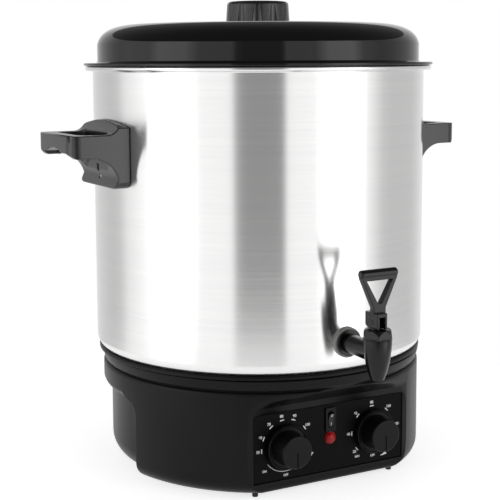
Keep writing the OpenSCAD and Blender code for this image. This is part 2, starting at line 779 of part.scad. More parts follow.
module bottom_screws() color("silver") at_axis() plate_screw_places() translate([0, 0, z_base])
    screw(screw_d, plate_t + base_wall - end_gap, screw_head_d, screw_head_h);

module feet() color([0.05, 0.05, 0.05]) at_axis() foot_places() {
    cylinder(d = foot_d, h = foot_h);
    cylinder(d = foot_stem_d, h = foot_h + foot_stem_h - 2 * run_gap);
}

module cord_gland() color([0.08, 0.08, 0.08]) at_axis()
    translate([0, drum_back + seat_gap + gland_out, gland_z]) to_front() difference() {
        union() {
            cylinder(d1 = gland_d, d2 = gland_flange_d, h = gland_taper_h);
            translate([0, 0, gland_taper_h]) cylinder(d = gland_flange_d, h = gland_flange_t);
            cylinder(d = gland_d, h = gland_l);
        }
        tube_cut(gland_bore, gland_l);
    }

module terminal_block() color("ivory") at_axis() translate(terminal) difference() {
    cube(terminal_size);
    for (i = [0:terminal_n - 1])
        translate([terminal_first + terminal_pitch * i, terminal_size[1] / 2, terminal_floor])
            cylinder(d = terminal_hole_d, h = terminal_size[2]);
}

// Control panel and what is fixed to it
module control_panel() color([0.08, 0.08, 0.08]) difference() {
    on_panel(0, z_panel + panel_h / 2) translate([0, 0, -panel_t]) linear_extrude(panel_t)
        square([panel_w, panel_h], center = true);
    for (x = [-knob_x, knob_x]) on_panel(x, z_knob)
        translate([0, 0, -panel_t]) tube_cut(bush_d + 2 * fit_gap, panel_t);
    on_panel(0, z_lamp) translate([0, 0, -panel_t]) tube_cut(lamp_hole_d + 2 * fit_gap, panel_t);
    on_panel(0, z_switch) translate([0, 0, -panel_t - over]) linear_extrude(panel_t + 2 * over)
        square([switch_body_w + 2 * fit_gap, switch_body_h + 2 * fit_gap], center = true);
}

// A turned switch behind the panel: fixing plate, round case, bush and the bore for its shaft
module rotary_switch(x, case_d, depth) on_panel(x, z_knob) translate([0, 0, -panel_t]) difference() {
    union() {
        translate([0, 0, -device_plate_t]) linear_extrude(device_plate_t)
            square([case_d + 2 * device_plate_over, device_plate_h], center = true);
        translate([0, 0, -depth]) cylinder(d = case_d, h = depth - device_plate_t / 2);
        cylinder(d = bush_d, h = panel_t + bush_out);
        for (a = [45, 135]) rotate(a) translate([-case_d / 3, -tab_w / 2, -depth - tab_l])
            cube([tab_t, tab_w, tab_l + over]);
    }
    translate([0, 0, -depth + shaft_floor]) cylinder(d = shaft_d + 2 * run_gap, h = far);
}

module thermostat() color("burlywood") rotary_switch(-knob_x, thermostat_d, thermostat_depth);

module timer() color("lightgrey") rotary_switch(knob_x, timer_d, timer_depth);

module shaft_outline(d) difference() {
    circle(d = d);
    translate([-d / 2, d / 2 - shaft_flat]) square([d, d]);
}

// Round inside the bush, and flatted where the knob sits on it
module knob_shaft(x, depth) on_panel(x, z_knob) {
    translate([0, 0, shaft_floor + end_gap - panel_t - depth])
        cylinder(d = shaft_d, h = depth - shaft_floor - end_gap + panel_t + bush_out + over);
    translate([0, 0, bush_out]) linear_extrude(knob_bore_out - bush_out - fit_gap) shaft_outline(shaft_d);
}

module thermostat_shaft() color("silver") knob_shaft(-knob_x, thermostat_depth);

module timer_shaft() color("silver") knob_shaft(knob_x, timer_depth);

module knob_profile() polygon(concat(
    [[bush_d / 2 + knob_hub_gap, knob_gap], [knob_skirt_d / 2 - edge_r / 2, knob_gap]],
    arc([knob_skirt_d / 2 - edge_r, knob_skirt_out - edge_r], edge_r, 0, 90, 4),
    [[knob_skirt_d / 2 - skirt_rim_w, knob_skirt_out - skirt_dip]],
    [[knob_grip_d / 2 + edge_r, knob_skirt_out - skirt_dip]],
    arc([knob_grip_d / 2 - grip_edge_r, knob_out - grip_edge_r], grip_edge_r, 0, 90, 5),
    [[0, knob_out], [0, bush_out + knob_hub_gap], [bush_d / 2 + knob_hub_gap, bush_out + knob_hub_gap]]));

module dial_knob(x) on_panel(x, z_knob) difference() {
    rotate_extrude() knob_profile();
    linear_extrude(knob_bore_out) shaft_outline(shaft_d + 2 * run_gap);
    translate([-pointer_w / 2, -knob_grip_d, knob_out - pointer_depth])
        cube([pointer_w, knob_grip_d, knob_out]);
}

module thermostat_knob() color([0.06, 0.06, 0.06]) dial_knob(-knob_x);

module timer_knob() color([0.06, 0.06, 0.06]) dial_knob(knob_x);

module lamp_lens() color("red") on_panel(0, z_lamp) {
    rotate_extrude() polygon(concat(
        [[0, 0], [lamp_d / 2, 0], [lamp_d / 2, edge_r]],
        [for (a = [0:9:90]) [(lamp_d / 2 - lens_rim_w) * cos(a), edge_r + lens_dome_h * sin(a)]]));
    translate([0, 0, -panel_t]) cylinder(d = lamp_hole_d, h = panel_t + edge_r / 2);
}

module lamp_holder() color("white") on_panel(0, z_lamp) translate([0, 0, -panel_t - lamp_depth]) {
    cylinder(d = lamp_case_d, h = lamp_depth);
    tabs(lamp_tab_x);
}

module rocker_slot(gap) hull() for (s = [-1, 1]) translate([0, s * (rocker_h - rocker_w) / 2])
    circle(d = rocker_w + 2 * gap, $fn = 32);

module switch_body() color([0.07, 0.07, 0.07]) on_panel(0, z_switch) difference() {
    union() {
        linear_extrude(frame_out) polygon(round_box(switch_w, switch_h, edge_r));
        translate([-switch_body_w / 2, -switch_body_h / 2, -switch_depth])
            cube([switch_body_w, switch_body_h, switch_depth + over]);
    }
    translate([0, 0, -rocker_h / 2 - rocker_room]) linear_extrude(far) rocker_slot(fit_gap);
    translate([0, 0, -rocker_pivot]) rotate([0, 90, 0])
        cylinder(d = trunnion_d + 2 * run_gap, h = trunnion_l + 2 * fit_gap, center = true);
}

// A barrel on two trunnions with a shallow V cut into its face, tipped to the off side
module switch_rocker() color([0.03, 0.03, 0.03]) on_panel(0, z_switch) translate([0, 0, -rocker_pivot]) {
    rise = rocker_h * tan(rocker_swing / 2);
    rotate([rocker_swing / 2, 0, 0]) difference() {
        rotate([0, 90, 0]) rotate_extrude() polygon(concat(
            [[0, -rocker_w / 2]],
            arc([(rocker_h - rocker_w) / 2, 0], rocker_w / 2, -90, 90, 10),
            [[0, rocker_w / 2]]));
        across(2 * rocker_w) polygon([[0, rocker_face], [rocker_h, rocker_face + rise], [rocker_h, far],
            [-rocker_h, far], [-rocker_h, rocker_face + rise]]);
    }
    rotate([0, 90, 0]) cylinder(d = trunnion_d, h = trunnion_l, center = true);
}

// Handles: a plan, a side view and a front view that meet in one moulding
module handle_plan() difference() {
    intersection() {
        translate([handle_r / 2, 0]) polygon(round_box(handle_r, handle_w, handle_corner_r));
        translate([kettle_r / 2, -handle_w]) square([far, 2 * handle_w]);
    }
    translate([(handle_plate_r + handle_r - grip_t) / 2, 0])
        polygon(round_box(handle_r - grip_t - handle_plate_r, handle_w - 2 * arm_w, finger_corner_r));
}

module handle_side() {
    top_r = z_handle_top - z_grip_top;
    curve_c = [handle_plate_r + arm_curve_r - arm_curve_in, z_arm_low - arm_curve_r];
    edge_c = [handle_r - handle_edge_r, z_grip_top - handle_edge_r];
    polygon(concat(
        [[kettle_r / 2, z_handle_low], [kettle_r / 2, z_handle_top]],
        arc([kettle_r + plate_top_t + top_r, z_handle_top], top_r, 180, 270, 8),
        arc(edge_c, handle_edge_r, 90, 0, 4),
        [[handle_r, z_grip_low], [handle_r - grip_taper, z_arm_low]],
        arc(curve_c, arm_curve_r, 90, arm_curve_end, 8),
        [[handle_plate_r, z_arm_low - arm_curve_r], [handle_plate_r, z_handle_low]]));
}

module handle_front() {
    arch_r = (pow(handle_w / 2, 2) + pow(handle_arch, 2)) / (2 * handle_arch);
    arch_a = asin(handle_w / 2 / arch_r);
    corner_y = handle_w / 2 - plate_corner_r;
    corner_z = z_handle_low + plate_corner_r;
    polygon(concat(
        arc([0, z_handle_top - arch_r], arch_r, 90 - arch_a, 90 + arch_a, 12),
        arc([-corner_y, corner_z], plate_corner_r, 180, 270, 6),
        arc([corner_y, corner_z], plate_corner_r, 270, 360, 6)));
}

module handle() difference() {
    intersection() {
        translate([0, 0, z_handle_low - over])
            linear_extrude(z_handle_top - z_handle_low + 2 * over) handle_plan();
        rotate([90, 0, 0]) linear_extrude(2 * handle_w, center = true) handle_side();
        translate([handle_r / 2, 0, 0]) across(handle_r + 2 * over) handle_front();
    }
    cylinder(r = kettle_r + seat_gap, h = far * 2);
    translate([handle_r - grip_t - over, arm_w - handle_w / 2, z_arm_low - over])
        cube([grip_t + 2 * over, handle_w - 2 * arm_w, arm_drop + over]);
    translate([handle_r - grip_t - over, 0, z_grip_low + grip_arch_h - grip_arch_r]) rotate([0, 90, 0])
        cylinder(r = grip_arch_r, h = grip_t + 2 * over);
    for (z = handle_screw_z) translate([0, 0, z]) rotate([0, 90, 0])
        cylinder(d = handle_screw_d + 2 * run_gap, h = handle_plate_r - handle_skin);
    translate([kettle_r / 2, -handle_slot_w / 2, handle_slot_z - handle_slot_h / 2])
        cube([kettle_r, handle_slot_w, handle_slot_h]);
}

module right_handle() color([0.1, 0.1, 0.1]) at_axis() handle();

module left_handle() color([0.1, 0.1, 0.1]) at_axis() mirror([1, 0, 0]) handle();

module handle_screws() color("silver") at_axis() both_sides() for (z = handle_screw_z)
    translate([sqrt(pow(kettle_in_r, 2) - pow(handle_head_d / 2, 2)) - seat_gap, 0, z])
        rotate([0, 90, 0]) screw(handle_screw_d, handle_plate_t - handle_skin, handle_head_d, handle_head_h);

// Lid
// The lid's rim, wall and shoulder, with a ledge round the mouth that the crown closes
module lid_profile() translate([0, lid_z]) polygon(concat(
    bezier([lid_crown_r, lid_shoulder_h], [lid_wall_r - lid_round, lid_shoulder_h - lid_round],
        [lid_wall_r, lid_wall_h], 8),
    arc([lid_wall_r + lid_fillet_r, lid_flange_t + lid_fillet_r], lid_fillet_r, 180, 270, 5),
    [[lid_r - edge_r, lid_flange_t], [lid_r, lid_flange_t - edge_r], [lid_r, edge_r], [lid_r - edge_r, 0]],
    [[lid_skirt_r, 0], [lid_skirt_r, -lid_skirt_h], [lid_skirt_r - lid_wall, -lid_skirt_h]],
    [[lid_skirt_r - lid_wall, 0], [lid_wall_r - lid_wall, 0]],
    bezier([lid_wall_r - lid_wall, lid_wall_h],
        [lid_wall_r - lid_round - lid_wall, lid_shoulder_h - lid_round - lid_wall],
        [lid_crown_r - lid_wall / 2, lid_shoulder_h - lid_wall], 8),
    [[lid_crown_r - lid_lap_w, lid_shoulder_h - lid_wall]],
    [[lid_crown_r - lid_lap_w, lid_shoulder_h - lid_lap_t], [lid_crown_r, lid_shoulder_h - lid_lap_t]]));

module lid_crown_profile() polygon(concat(
    bezier([0, lid_crown_h], [lid_crown_r * 0.6, lid_crown_h], [lid_crown_r - fit_gap, lid_shoulder_h], 6),
    [[lid_crown_r - fit_gap, lid_shoulder_h - lid_lap_t]],
    [[lid_crown_r - lid_lap_w - fit_gap, lid_shoulder_h - lid_lap_t]],
    [[lid_crown_r - lid_lap_w - fit_gap, lid_shoulder_h - lid_wall]],
    [[lid_knob_d / 2, lid_crown_h - lid_wall], [0, lid_crown_h - lid_wall]]));

module lid() color([0.07, 0.07, 0.07]) at_axis() rotate_extrude() lid_profile();

module lid_crown() color([0.07, 0.07, 0.07]) at_axis() translate([0, 0, lid_z]) difference() {
    rotate_extrude() lid_crown_profile();
    translate([0, 0, lid_crown_h - 2 * lid_wall])
        cylinder(d = lid_screw_d + 2 * fit_gap, h = 4 * lid_wall);
}

module lid_knob() color([0.07, 0.07, 0.07]) at_axis() translate([0, 0, lid_z + lid_crown_h]) difference() {
    edge_c = [lid_knob_d / 2 - lid_knob_draft - lid_knob_edge_r, lid_knob_h - lid_knob_edge_r];
    rotate_extrude() polygon(concat(
        [[0, 0], [lid_knob_d / 2, 0]], arc(edge_c, lid_knob_edge_r, 0, 90, 6), [[0, lid_knob_h]]));
    for (i = [0:lid_knob_flutes - 1]) rotate(360 * i / lid_knob_flutes)
        translate([lid_knob_d / 2 + flute_r - flute_depth, 0, -over])
            cylinder(r = flute_r, h = lid_knob_h - lid_knob_edge_r + over);
    translate([0, 0, -over]) cylinder(d = lid_screw_d + 2 * run_gap, h = lid_screw_grip + over);
}

module lid_screw() color("silver") at_axis() translate([0, 0, lid_z + lid_crown_h - lid_wall])
    screw(lid_screw_d, lid_wall + lid_screw_grip - end_gap, lid_screw_head_d, lid_screw_head_h);

// Tap
module spout_profile() polygon(concat(
    [[0, z_spout], [spout_d / 2, z_spout]],
    bezier([spout_d / 2, z_spout], [tap_body_d / 2 - spout_swell, z_chamber],
        [tap_body_d / 2, z_body_top], 8),
    [[0, z_body_top]]));

module tap_body() color([0.08, 0.08, 0.08]) difference() {
    union() {
        at_tap() rotate_extrude() spout_profile();
        on_shank(washer_r) {
            cylinder(d = shank_d, h = tap_reach - washer_r);
            cylinder(d = flange_d, h = flange_t);
        }
        on_shank(thread_start) cylinder(d = thread_d, h = washer_r - thread_start + over);
    }
    at_tap() {
        translate([0, 0, z_chamber]) cylinder(d = chamber_d, h = far);
        translate([0, 0, z_spout - over]) cylinder(d = outlet_d, h = tap_body_down);
    }
    on_shank(thread_start - over) cylinder(d = shank_bore, h = tap_reach - thread_start + over);
}

module tap_washer() color("gainsboro") difference() {
    on_shank(kettle_r - over) difference() {
        cylinder(d = washer_d, h = washer_r - kettle_r + over);
        tube_cut(thread_d + 2 * fit_gap, washer_t + 2 * over);
    }
    at_axis() cylinder(r = kettle_r + seat_gap, h = far, $fn = 256);
}

module tap_gasket() color("gainsboro") intersection() {
    on_shank(kettle_in_r - gasket_t) difference() {
        cylinder(d = washer_d - 2 * edge_r, h = 2 * gasket_t);
        tube_cut(thread_d + 2 * fit_gap, 2 * gasket_t);
    }
    at_axis() cylinder(r = kettle_in_r - seat_gap, h = far, $fn = 256);
}

module tap_nut() color([0.12, 0.12, 0.12]) on_shank(kettle_in_r - gasket_t - nut_h) difference() {
    cylinder(d = nut_af / cos(30), h = nut_h, $fn = 6);
    tube_cut(thread_d + 2 * run_gap, nut_h);
}

module tap_bonnet() color([0.09, 0.09, 0.09]) at_tap() difference() {
    union() {
        translate([0, 0, z_body_top - bonnet_plug_h])
            cylinder(d = chamber_d - 2 * seat_gap, h = bonnet_plug_h + over);
        translate([0, 0, z_body_top]) cylinder(d = tap_body_d, h = bonnet_ring_h);
        intersection() {
            translate([0, 0, z_body_top + bonnet_ring_h / 2])
                cylinder(d = bonnet_af / cos(30), h = bonnet_h - bonnet_ring_h / 2, $fn = 6);
            translate([0, 0, z_body_top])
                cylinder(d1 = bonnet_af + bonnet_slope, d2 = bonnet_af - bonnet_chamfer, h = bonnet_h);
        }
    }
    translate([0, 0, z_body_top - bonnet_plug_h - over])
        cylinder(d = spring_room_d, h = bonnet_plug_h + bonnet_h - bonnet_top_t + over);
    translate([0, 0, z_body_top]) cylinder(d = stem_d + 2 * fit_gap, h = far);
}

module tap_stem() color([0.15, 0.15, 0.15]) at_tap() difference() {
    union() {
        translate([0, 0, z_chamber + seat_gap + seat_h / 2])
            cylinder(d = stem_d, h = z_pivot + stem_past - z_chamber - seat_gap - seat_h / 2);
        translate([0, 0, z_collar]) cylinder(d = stem_collar_d, h = stem_collar_t);
    }
    translate([0, 0, z_pivot]) rotate([0, 90, 0])
        cylinder(d = pin_d + 2 * run_gap, h = 2 * stem_d, center = true);
}

module tap_seat() color("white") at_tap() translate([0, 0, z_chamber + seat_gap]) difference() {
    union() {
        cylinder(d = seat_d, h = seat_h - seat_step_h);
        cylinder(d = seat_d - 2 * seat_step_w, h = seat_h);
    }
    translate([0, 0, seat_h / 2]) cylinder(d = stem_d + 2 * run_gap, h = seat_h);
}

// One round wire wound between the stem's collar and the bonnet's roof
spring_low = z_collar + stem_collar_t + spring_wire / 2 + seat_gap;
spring_high = z_bonnet - bonnet_top_t - spring_wire / 2 - seat_gap;
wire_sides = 6;
turn_rings = 8;
spring_rings = spring_turns * turn_rings;
function wire_point(i, j) = let (
        a = 360 * i / turn_rings,
        b = 360 * j / wire_sides,
        r = spring_r + spring_wire / 2 * cos(b),
        z = spring_low + (spring_high - spring_low) * i / spring_rings)
    [r * cos(a), r * sin(a), z + spring_wire / 2 * sin(b)];

module tap_spring() color("silver") at_tap() polyhedron(
    points = [for (i = [0:spring_rings]) for (j = [0:wire_sides - 1]) wire_point(i, j)],
    faces = concat(
        [[for (j = [0:wire_sides - 1]) j]],
        [for (i = [0:spring_rings - 1]) for (j = [0:wire_sides - 1])
            let (k = (j + 1) % wire_sides, p = i * wire_sides, q = p + wire_sides)
            each [[p + j, q + j, q + k], [p + j, q + k, p + k]]],
        [[for (j = [wire_sides - 1:-1:0]) spring_rings * wire_sides + j]]));

module lever_foot() across(foot_w) polygon(concat(
    [[-foot_front, -pivot_h]],
    [for (i = [0:8]) heel(lever_tilt * i / 8)],
    [[heel(lever_tilt)[0], foot_top], [-foot_front, foot_top]]));

module lever_loop() to_front() linear_extrude(loop_t, center = true) {
    neck_w = foot_w / 2 + edge_r;
    neck_h = foot_top + neck_rise;
    top_w = bar_l / 2 - edge_r;
    window_low = neck_h + window_rise;
    window_high = lever_h - bar_d / 2 - window_drop;
    difference() {
        polygon([[-neck_w, foot_top - over], [neck_w, foot_top - over], [neck_w, neck_h],
            [top_w, lever_h - bar_d / 2], [top_w, lever_h],
            [-top_w, lever_h], [-top_w, lever_h - bar_d / 2], [-neck_w, neck_h]]);
        offset(r = window_r) polygon([[-window_w / 2, window_low], [window_w / 2, window_low],
            [top_w - leg_w, window_high], [leg_w - top_w, window_high]]);
    }
}

module tap_lever() color([0.08, 0.08, 0.08]) at_tap() translate([0, 0, z_pivot]) difference() {
    union() {
        lever_foot();
        lever_loop();
        translate([-bar_l / 2, 0, lever_h]) rotate([0, 90, 0]) rotate_extrude() polygon(concat(
            [[0, 0]],
            arc([bar_d / 2 - bar_edge_r, bar_edge_r], bar_edge_r, -90, 0, 4),
            arc([bar_d / 2 - bar_edge_r, bar_l - bar_edge_r], bar_edge_r, 0, 90, 4),
            [[0, bar_l]]));
    }
    translate([-stem_d / 2 - fit_gap, -far / 2, -far / 2])
        cube([stem_d + 2 * fit_gap, far, far / 2 + foot_slot_top]);
    rotate([0, 90, 0]) cylinder(d = pin_d + 2 * run_gap, h = 2 * foot_w, center = true);
}

module lever_pin() color("silver") at_tap() translate([0, 0, z_pivot]) rotate([0, 90, 0])
    cylinder(d = pin_d, h = foot_w - 2 * seat_gap, center = true);

kettle();
collar_ring();
base_housing();
bottom_plate();
bottom_screws();
feet();
control_panel();
thermostat();
thermostat_shaft();
thermostat_knob();
timer();
timer_shaft();
timer_knob();
lamp_lens();
lamp_holder();
switch_body();
switch_rocker();
cord_gland();
terminal_block();
heating_plate();
heating_element();
thermal_cutout();
sensor_bulb();
capillary();
wiring();
kettle_studs();
stud_nuts();
left_handle();
right_handle();
handle_screws();
lid();
lid_crown();
lid_knob();
lid_screw();
tap_body();
tap_washer();
tap_gasket();
tap_nut();
tap_bonnet();
tap_stem();
tap_seat();
tap_spring();
tap_lever();
lever_pin();
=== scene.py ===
# %% [markdown]
# # A mulled wine boiler
# The solid model of the boiler comes in as a fixed frame: every piece already has its real
# size and place, in metres. This lesson dresses that frame. It sets up the camera and the
# studio first, then gives each real material a finish, and then makes the pieces that show.

import json
import math

import bmesh
import bpy
from mathutils import Matrix, Vector
from mathutils.bvhtree import BVHTree
from mathutils.kdtree import KDTree


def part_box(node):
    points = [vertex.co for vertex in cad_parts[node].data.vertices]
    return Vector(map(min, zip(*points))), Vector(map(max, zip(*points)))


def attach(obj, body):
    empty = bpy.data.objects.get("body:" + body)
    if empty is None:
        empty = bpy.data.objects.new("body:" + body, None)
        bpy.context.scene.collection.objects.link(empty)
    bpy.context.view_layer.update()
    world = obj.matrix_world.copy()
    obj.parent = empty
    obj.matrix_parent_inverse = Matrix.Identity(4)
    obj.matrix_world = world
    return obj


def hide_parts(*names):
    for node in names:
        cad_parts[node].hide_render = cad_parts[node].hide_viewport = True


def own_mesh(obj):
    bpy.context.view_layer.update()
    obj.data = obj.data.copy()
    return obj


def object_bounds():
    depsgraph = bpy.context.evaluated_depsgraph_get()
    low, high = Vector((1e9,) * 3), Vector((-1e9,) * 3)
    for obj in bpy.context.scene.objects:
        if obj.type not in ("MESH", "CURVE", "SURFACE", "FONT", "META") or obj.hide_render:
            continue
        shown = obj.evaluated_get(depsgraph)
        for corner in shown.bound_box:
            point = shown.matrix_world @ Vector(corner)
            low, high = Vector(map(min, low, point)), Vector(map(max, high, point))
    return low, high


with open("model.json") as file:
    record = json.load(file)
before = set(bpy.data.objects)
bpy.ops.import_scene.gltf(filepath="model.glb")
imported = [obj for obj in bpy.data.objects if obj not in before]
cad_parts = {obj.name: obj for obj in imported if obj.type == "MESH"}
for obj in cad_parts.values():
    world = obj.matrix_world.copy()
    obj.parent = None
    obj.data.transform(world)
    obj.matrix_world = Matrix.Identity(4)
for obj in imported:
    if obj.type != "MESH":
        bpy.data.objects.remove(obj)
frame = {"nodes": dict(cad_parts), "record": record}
CAD_LOW, CAD_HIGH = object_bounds()
MM = 0.001
NODES = frame["nodes"]

kettle_low, kettle_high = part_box("kettle")
AXIS = Vector(((kettle_low.x + kettle_high.x) / 2, (kettle_low.y + kettle_high.y) / 2, 0))
UP = Vector((0, 0, 1))
print("kettle axis", AXIS, "nodes", len(NODES))

# %% [markdown]
# ## The camera
# A product photographer stands a little to the left of the tap, with a long lens just above
# the handles, and tips the camera down slightly. The lens shift keeps the boiler in the frame,
# as a shift lens or a crop does.

# %% Camera
IMAGE_PX = 500
SENSOR_MM = 36
FOCAL_PX = 1174
OPTICAL_CENTRE_PX = (250.5, 200.5)
CAMERA_TURN = math.radians(28.6)
CAMERA_TILT = math.radians(6.8)
CAMERA_ROLL = math.radians(-0.25)
CAMERA_AWAY = 1276 * MM
CAMERA_ASIDE = 8.7 * MM
CAMERA_UP = 428 * MM

forward = Vector((math.sin(CAMERA_TURN), math.cos(CAMERA_TURN), 0))
sideways = Vector((math.cos(CAMERA_TURN), -math.sin(CAMERA_TURN), 0))
camera_data = bpy.data.cameras.new("camera")
camera_data.sensor_width = SENSOR_MM
camera_data.lens = FOCAL_PX / IMAGE_PX * SENSOR_MM
camera_data.shift_x = (IMAGE_PX / 2 - OPTICAL_CENTRE_PX[0]) / IMAGE_PX
camera_data.shift_y = (OPTICAL_CENTRE_PX[1] - IMAGE_PX / 2) / IMAGE_PX
camera = bpy.data.objects.new("camera", camera_data)
scene = bpy.context.scene
scene.collection.objects.link(camera)
camera.location = AXIS - CAMERA_AWAY * forward - CAMERA_ASIDE * sideways + CAMERA_UP * UP
looking = math.cos(CAMERA_TILT) * forward - math.sin(CAMERA_TILT) * UP
upright = looking.to_track_quat("-Z", "Y").to_matrix().to_4x4()
camera.rotation_euler = (upright @ Matrix.Rotation(CAMERA_ROLL, 4, "Z")).to_euler()
scene.camera = camera
print("lens", round(camera_data.lens, 1), "mm")

# %% [markdown]
# ## Colours and nodes
# Colours are written as the sRGB hex values that a paint program shows, and one function turns
# them to the linear values that the renderer counts in. A second function adds a shader node,
# sets its values and links its inputs in one go.

# %% Colour and node helpers


def linear(colour):
    """The linear RGBA of an sRGB hex colour."""
    parts = [int(colour[i : i + 2], 16) / 255 for i in (1, 3, 5)]
    return [c / 12.92 if c <= 0.04045 else ((c + 0.055) / 1.055) ** 2.4 for c in parts] + [1]


def add(tree, kind, values=None, links=None, stops=(), **settings):
    """A new node: its options, input numbers and input sockets, and a ramp's stops."""
    made = tree.nodes.new(kind)
    for name, value in settings.items():
        setattr(made, name, value)
    for name, value in (values or {}).items():
        made.inputs[name].default_value = value
    for name, socket in (links or {}).items():
        tree.links.new(socket, made.inputs[name])
    if stops:
        elements = made.color_ramp.elements
        while len(elements) < len(stops):
            elements.new(1)
        for element, (place, colour) in zip(elements, stops):
            element.position = place
            element.color = colour
    return made


def new_material(name):
    """An empty material, its node tree, its Principled shader and its Object coordinates."""
    made = bpy.data.materials.new(name)
    made.use_nodes = True
    tree = made.node_tree
    shader = tree.nodes["Principled BSDF"]
    coordinates = add(tree, "ShaderNodeTexCoord").outputs["Object"]
    return made, tree, shader, coordinates


# %% [markdown]
# ## The studio
# Polished metal looks like whatever stands round it, so the studio matters as much as the
# steel. A round tent of white cloth lights the boiler from all sides. Two strips of it, to the
# left and the right of the camera, are brighter. The gap where the camera looks in is dark, and
# the cloth beside and behind the boiler is a little greyer, which draws the dark and grey upright
# bands on the kettle. The tent is open to a dark ceiling, so that the black lid stays black. The
# boiler stands on a round white table, with the cloth hanging down round it, so that the lower
# kettle mirrors the bands too.

# %% Floor
scene.view_settings.view_transform = "Standard"
TABLE_R = 0.55
TABLE_NEAR = 0.11
TABLE_STEPS = 128
PAPER_GLOW = 0.72
PAPER_ROUGHNESS = 0.8


def seen_rays(tree):
    """A socket that is 1 for rays that show a surface directly, in a mirror or through glass."""
    path = add(tree, "ShaderNodeLightPath").outputs
    seen = path["Is Camera Ray"]
    for kind in ("Is Glossy Ray", "Is Transmission Ray"):
        either = add(tree, "ShaderNodeMath", links={0: seen, 1: path[kind]}, operation="MAXIMUM")
        seen = either.outputs[0]
    return seen


def stage_piece(name, mesh_in_progress, material):
    """Turns a bmesh into a piece of the studio, which isn't part of the boiler."""
    data = bpy.data.meshes.new(name)
    mesh_in_progress.to_mesh(data)
    mesh_in_progress.free()
    data.materials.append(material)
    made = bpy.data.objects.new(name, data)
    scene.collection.objects.link(made)
    return made


# Matt paper scatters light evenly and keeps a soft shadow. Where it is seen, it also glows, so
# that it comes out white.
paper, tree, shader, _ = new_material("white paper")
shader.inputs["Base Color"].default_value = linear("#f2f2f2")
shader.inputs["Roughness"].default_value = PAPER_ROUGHNESS
shader.inputs["Emission Color"].default_value = linear("#ffffff")
glow = add(
    tree, "ShaderNodeMath", values={1: PAPER_GLOW}, links={0: seen_rays(tree)}, operation="MULTIPLY"
)
tree.links.new(glow.outputs[0], shader.inputs["Emission Strength"])
shape = bmesh.new()
bmesh.ops.create_circle(shape, cap_ends=True, segments=TABLE_STEPS, radius=TABLE_R)
bmesh.ops.translate(shape, vec=AXIS - TABLE_NEAR * forward, verts=shape.verts)
stage_piece("floor", shape, paper)
print("table", TABLE_R, "m")

# %% World
SKY_LIGHT = 0.5
world = bpy.data.worlds.new("white sky")
scene.world = world
world.use_nodes = True
tree = world.node_tree
background = tree.nodes["Background"]
strength = add(
    tree, "ShaderNodeMix", values={"A": SKY_LIGHT, "B": 1.0}, links={"Factor": seen_rays(tree)}
)
tree.links.new(strength.outputs["Result"], background.inputs["Strength"])
background.inputs["Color"].default_value = linear("#ffffff")
print("sky", SKY_LIGHT)

# %% Light tent
TENT_R = 2.4
TENT_H = 1.4
TENT_DROP = 2.0
TENT_STEPS = 96
TENT_LIGHT = 3.0
# Each is degrees to the right of the camera as it looks out, and the cloth's grey level there.
TENT_BANDS = [
    (-178, 0.30), (-150, 0.25), (-118, 0.21), (-108, 0.23), (-99, 0.32), (-88, 0.37),
    (-78, 0.42), (-70, 0.70), (-50, 0.70), (-40, 0.38), (-17.5, 0.37), (-14.5, 0.15),
    (-9, 0.11), (14, 0.11), (16.5, 0.14), (18, 0.37), (38, 0.38), (48, 0.80), (66, 0.80),
    (75, 0.37), (82, 0.31), (90, 0.23), (99, 0.21), (125, 0.21), (150, 0.27), (178, 0.30),
]


def grey(level):
    """A neutral linear grey."""
    return (level, level, level, 1)


def lamp_cloth(name):
    """A material that only gives light, its tree, and a socket for its colour."""
    made = bpy.data.materials.new(name)
    made.use_nodes = True
    tree = made.node_tree
    tree.nodes.remove(tree.nodes["Principled BSDF"])
    glow = add(tree, "ShaderNodeEmission", values={"Strength": TENT_LIGHT})
    tree.links.new(glow.outputs[0], tree.nodes["Material Output"].inputs["Surface"])
    return made, tree, glow.inputs["Color"]


# Thin white cloth, lit from outside: an even glow, which the steel mirrors in upright bands.
cloth, tree, colour = lamp_cloth("lit tent cloth")
coordinates = add(tree, "ShaderNodeTexCoord").outputs["Object"]
centred = add(
    tree, "ShaderNodeMapping", values={"Location": -AXIS}, links={"Vector": coordinates}
)
turned = add(
    tree, "ShaderNodeMapping", values={"Rotation": (0, 0, CAMERA_TURN + math.pi / 2)},
    links={"Vector": centred.outputs[0]},
)
around = add(
    tree, "ShaderNodeTexGradient", links={"Vector": turned.outputs[0]}, gradient_type="RADIAL"
)
bands = add(
    tree, "ShaderNodeValToRGB", links={"Fac": around.outputs["Fac"]},
    stops=[(0.5 + degrees / 360, grey(level)) for degrees, level in TENT_BANDS],
)
tree.links.new(bands.outputs["Color"], colour)
shape = bmesh.new()
bmesh.ops.create_cone(
    shape, segments=TENT_STEPS, radius1=TENT_R, radius2=TENT_R, depth=TENT_H + TENT_DROP
)
bmesh.ops.translate(shape, vec=AXIS + UP * (TENT_H - TENT_DROP) / 2, verts=shape.verts)
tent = stage_piece("light_tent", shape, cloth)
print("tent", TENT_R, "m")

# %% Ceiling
CEILING_LEVEL = 0.06
# A dark room above the tent: the lid and the tops of the handles stay black.
shade, _, colour = lamp_cloth("dark ceiling")
colour.default_value = grey(CEILING_LEVEL)
shape = bmesh.new()
bmesh.ops.create_circle(shape, cap_ends=True, segments=TENT_STEPS, radius=2 * TENT_R)
bmesh.ops.translate(shape, vec=AXIS + UP * TENT_H, verts=shape.verts)
ceiling = stage_piece("ceiling", shape, shade)
for piece in (tent, ceiling):
    piece.visible_camera = False
    piece.visible_shadow = False
print("ceiling", TENT_H, "m")

# %% [markdown]
# ## Materials
# Each finish starts from what the real thing is made of and how its surface was made. The
# patterns read Object coordinates, which here are the boiler's own coordinates in metres, so a
# scale of 1000 divided by a length in millimetres gives a pattern of that length.

